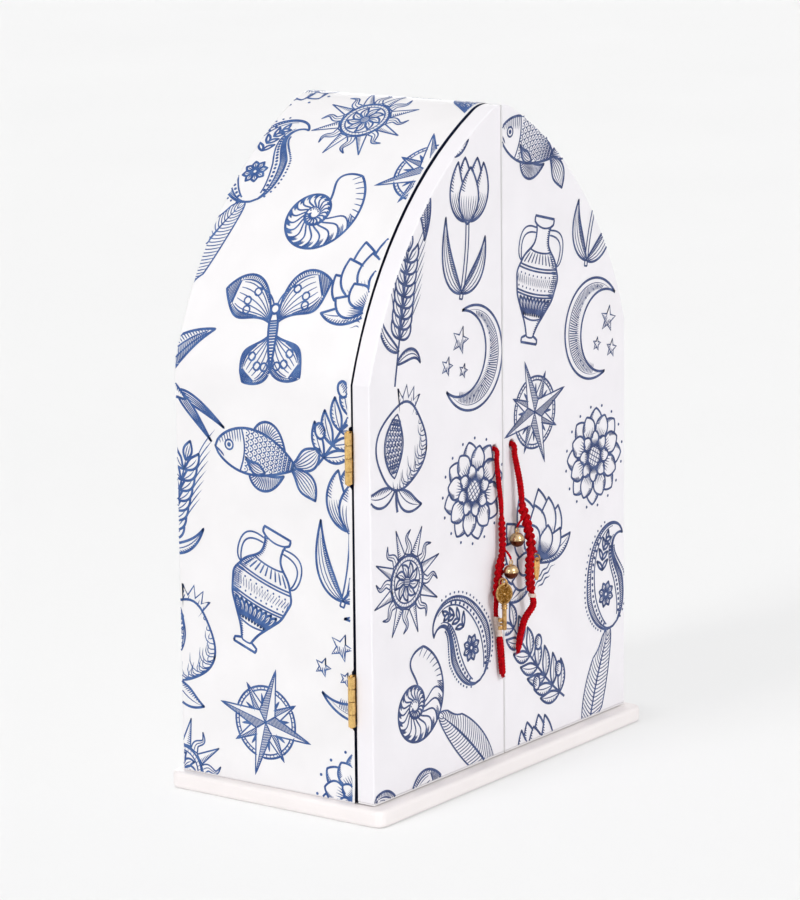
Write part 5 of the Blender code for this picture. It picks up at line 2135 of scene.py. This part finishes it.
@dataclass(frozen=True)
class Studio:
    """Pale floor, soft light from the left and the front, and the photograph's camera."""

    suns: Sequence[Sun] = (
        Sun("key", 1.37, 20.0, -100.0, 20.0),
        Sun("front", 1.38, 15.0, -3.0, 34.0, FloorLight.NEVER),
        Sun("rear", 1.05, 20.0, 135.0, 8.0, FloorLight.NEVER),
        Sun("top", 1.25, 10.0, -90.0, 85.0, FloorLight.ONLY))
    paper: float = 0.93
    fill: float = 0.62
    floor_reach: float = 30.0
    floor_glow: float = 0.365
    floor_tone: float = 0.48
    focal_pixels: float = 3956.42
    tall_pixels: float = 900.0
    azimuth: float = -54.108
    pitch: float = 11.809
    roll: float = -0.626
    distance: float = 1.57436
    target: tuple[float, float, float] = (0.0, 0.00670, 0.140)
    sideways: float = 0.0018584
    upwards: float = -0.0154799

    def build_floor(self) -> bpy.types.Object:
        """Lay a wide pale floor that keeps the object's shadow.

        Returns:
            The floor.
        """
        mesh = bpy.data.meshes.new("floor")
        corners = np.array([[-1, -1, 0], [1, -1, 0], [1, 1, 0], [-1, 1, 0]]) * self.floor_reach
        mesh.from_pydata(corners.tolist(), [], [(0, 1, 2, 3)])
        board = NodeBoard("floor_paper")
        tone = board.spread(board.noise(3.0), out=(self.floor_tone, self.floor_tone + 0.01))
        board.dress(Base_Color=tone, Roughness=0.95, Specular_IOR_Level=0.0,
                    Emission_Color=(1.0, 1.0, 1.0, 1.0), Emission_Strength=self.floor_glow)
        mesh.materials.append(board.material)
        floor = bpy.data.objects.new("floor", mesh)
        bpy.context.scene.collection.objects.link(floor)
        return floor

    def build_world(self) -> None:
        """Set an even world that the camera and metal see as white paper."""
        world = bpy.data.worlds.new("studio")
        bpy.context.scene.world = world
        world.use_nodes = True
        tree = world.node_tree
        rays = tree.nodes.new("ShaderNodeLightPath").outputs
        seen = rays["Is Camera Ray"]
        for kind in ("Is Glossy Ray", "Is Transmission Ray"):
            either = tree.nodes.new("ShaderNodeMath")
            either.operation = "MAXIMUM"
            tree.links.new(seen, either.inputs[0])
            tree.links.new(rays[kind], either.inputs[1])
            seen = either.outputs[0]
        level = tree.nodes.new("ShaderNodeMapRange")
        level.inputs["To Min"].default_value = self.fill
        level.inputs["To Max"].default_value = self.paper
        tree.links.new(seen, level.inputs["Value"])
        background = tree.nodes["Background"]
        tree.links.new(level.outputs["Result"], background.inputs["Strength"])
        background.inputs["Color"].default_value = (1.0, 1.0, 1.0, 1.0)

    def build_camera(self) -> None:
        """Place the camera that was fitted to the object's corners in the photograph."""
        a, e, r = (math.radians(angle) for angle in (self.azimuth, self.pitch, self.roll))
        back = np.array([math.sin(a) * math.cos(e), -math.cos(a) * math.cos(e), math.sin(e)])
        right = np.array([math.cos(a), math.sin(a), 0.0])
        up = np.cross(back, right)
        right, up = math.cos(r) * right + math.sin(r) * up, math.cos(r) * up - math.sin(r) * right
        place = np.array(self.target) + self.distance * back + self.sideways * right + self.upwards * up
        data = bpy.data.cameras.new("photo_camera")
        data.sensor_width = 36.0
        data.lens = self.focal_pixels / self.tall_pixels * data.sensor_width
        data.clip_start, data.clip_end = 0.05, 200.0
        camera = bpy.data.objects.new("photo_camera", data)
        matrix = np.eye(4)
        matrix[:3] = np.stack([right, up, back, place], -1)
        camera.matrix_world = Matrix(matrix.tolist())
        bpy.context.scene.collection.objects.link(camera)
        bpy.context.scene.camera = camera

    def build(self) -> None:
        """Build floor, light and camera, and keep the plain view settings."""
        floor = self.build_floor()
        self.build_world()
        for sun in self.suns:
            sun.build(floor)
        self.build_camera()
        bpy.context.scene.view_settings.view_transform = "Standard"


def main() -> None:
    """Build the sub-assemblies in order."""
    logging.basicConfig(level=logging.INFO, format="%(name)s %(message)s")
    arch = ArchLine()
    case = Case(arch)
    case.dress()
    case.build()
    doors = Doors()
    doors.dress()
    doors.build()
    wall_ink, door_ink = Ink(), Ink((0.031, 0.052, 0.150), (0.078, 0.115, 0.25))
    for side, first in ((Side.LEFT, 0), (Side.RIGHT, 9)):
        WallPrint(side, arch, wall_ink, first, ((-1.0, 0.0), (42.0, 0.5), (85.0, 0.0))).build()
        steps = (0.3, 0.8) if side is Side.LEFT else (0.8, 0.3)
        columns = [(side.value * x, step) for x, step in zip((22.0, 66.0), steps)]
        DoorPrint(side, arch, door_ink, first + 4, columns).build()
    hinges = Hinges()
    hinges.dress()
    hinges.build()
    for pull in (LEFT_PULL, RIGHT_PULL):
        pull.build()
    charms = Charms()
    charms.dress()
    charms.build_key()
    charms.build_leaf()
    Studio().build()


if __name__ == "__main__":
    main()
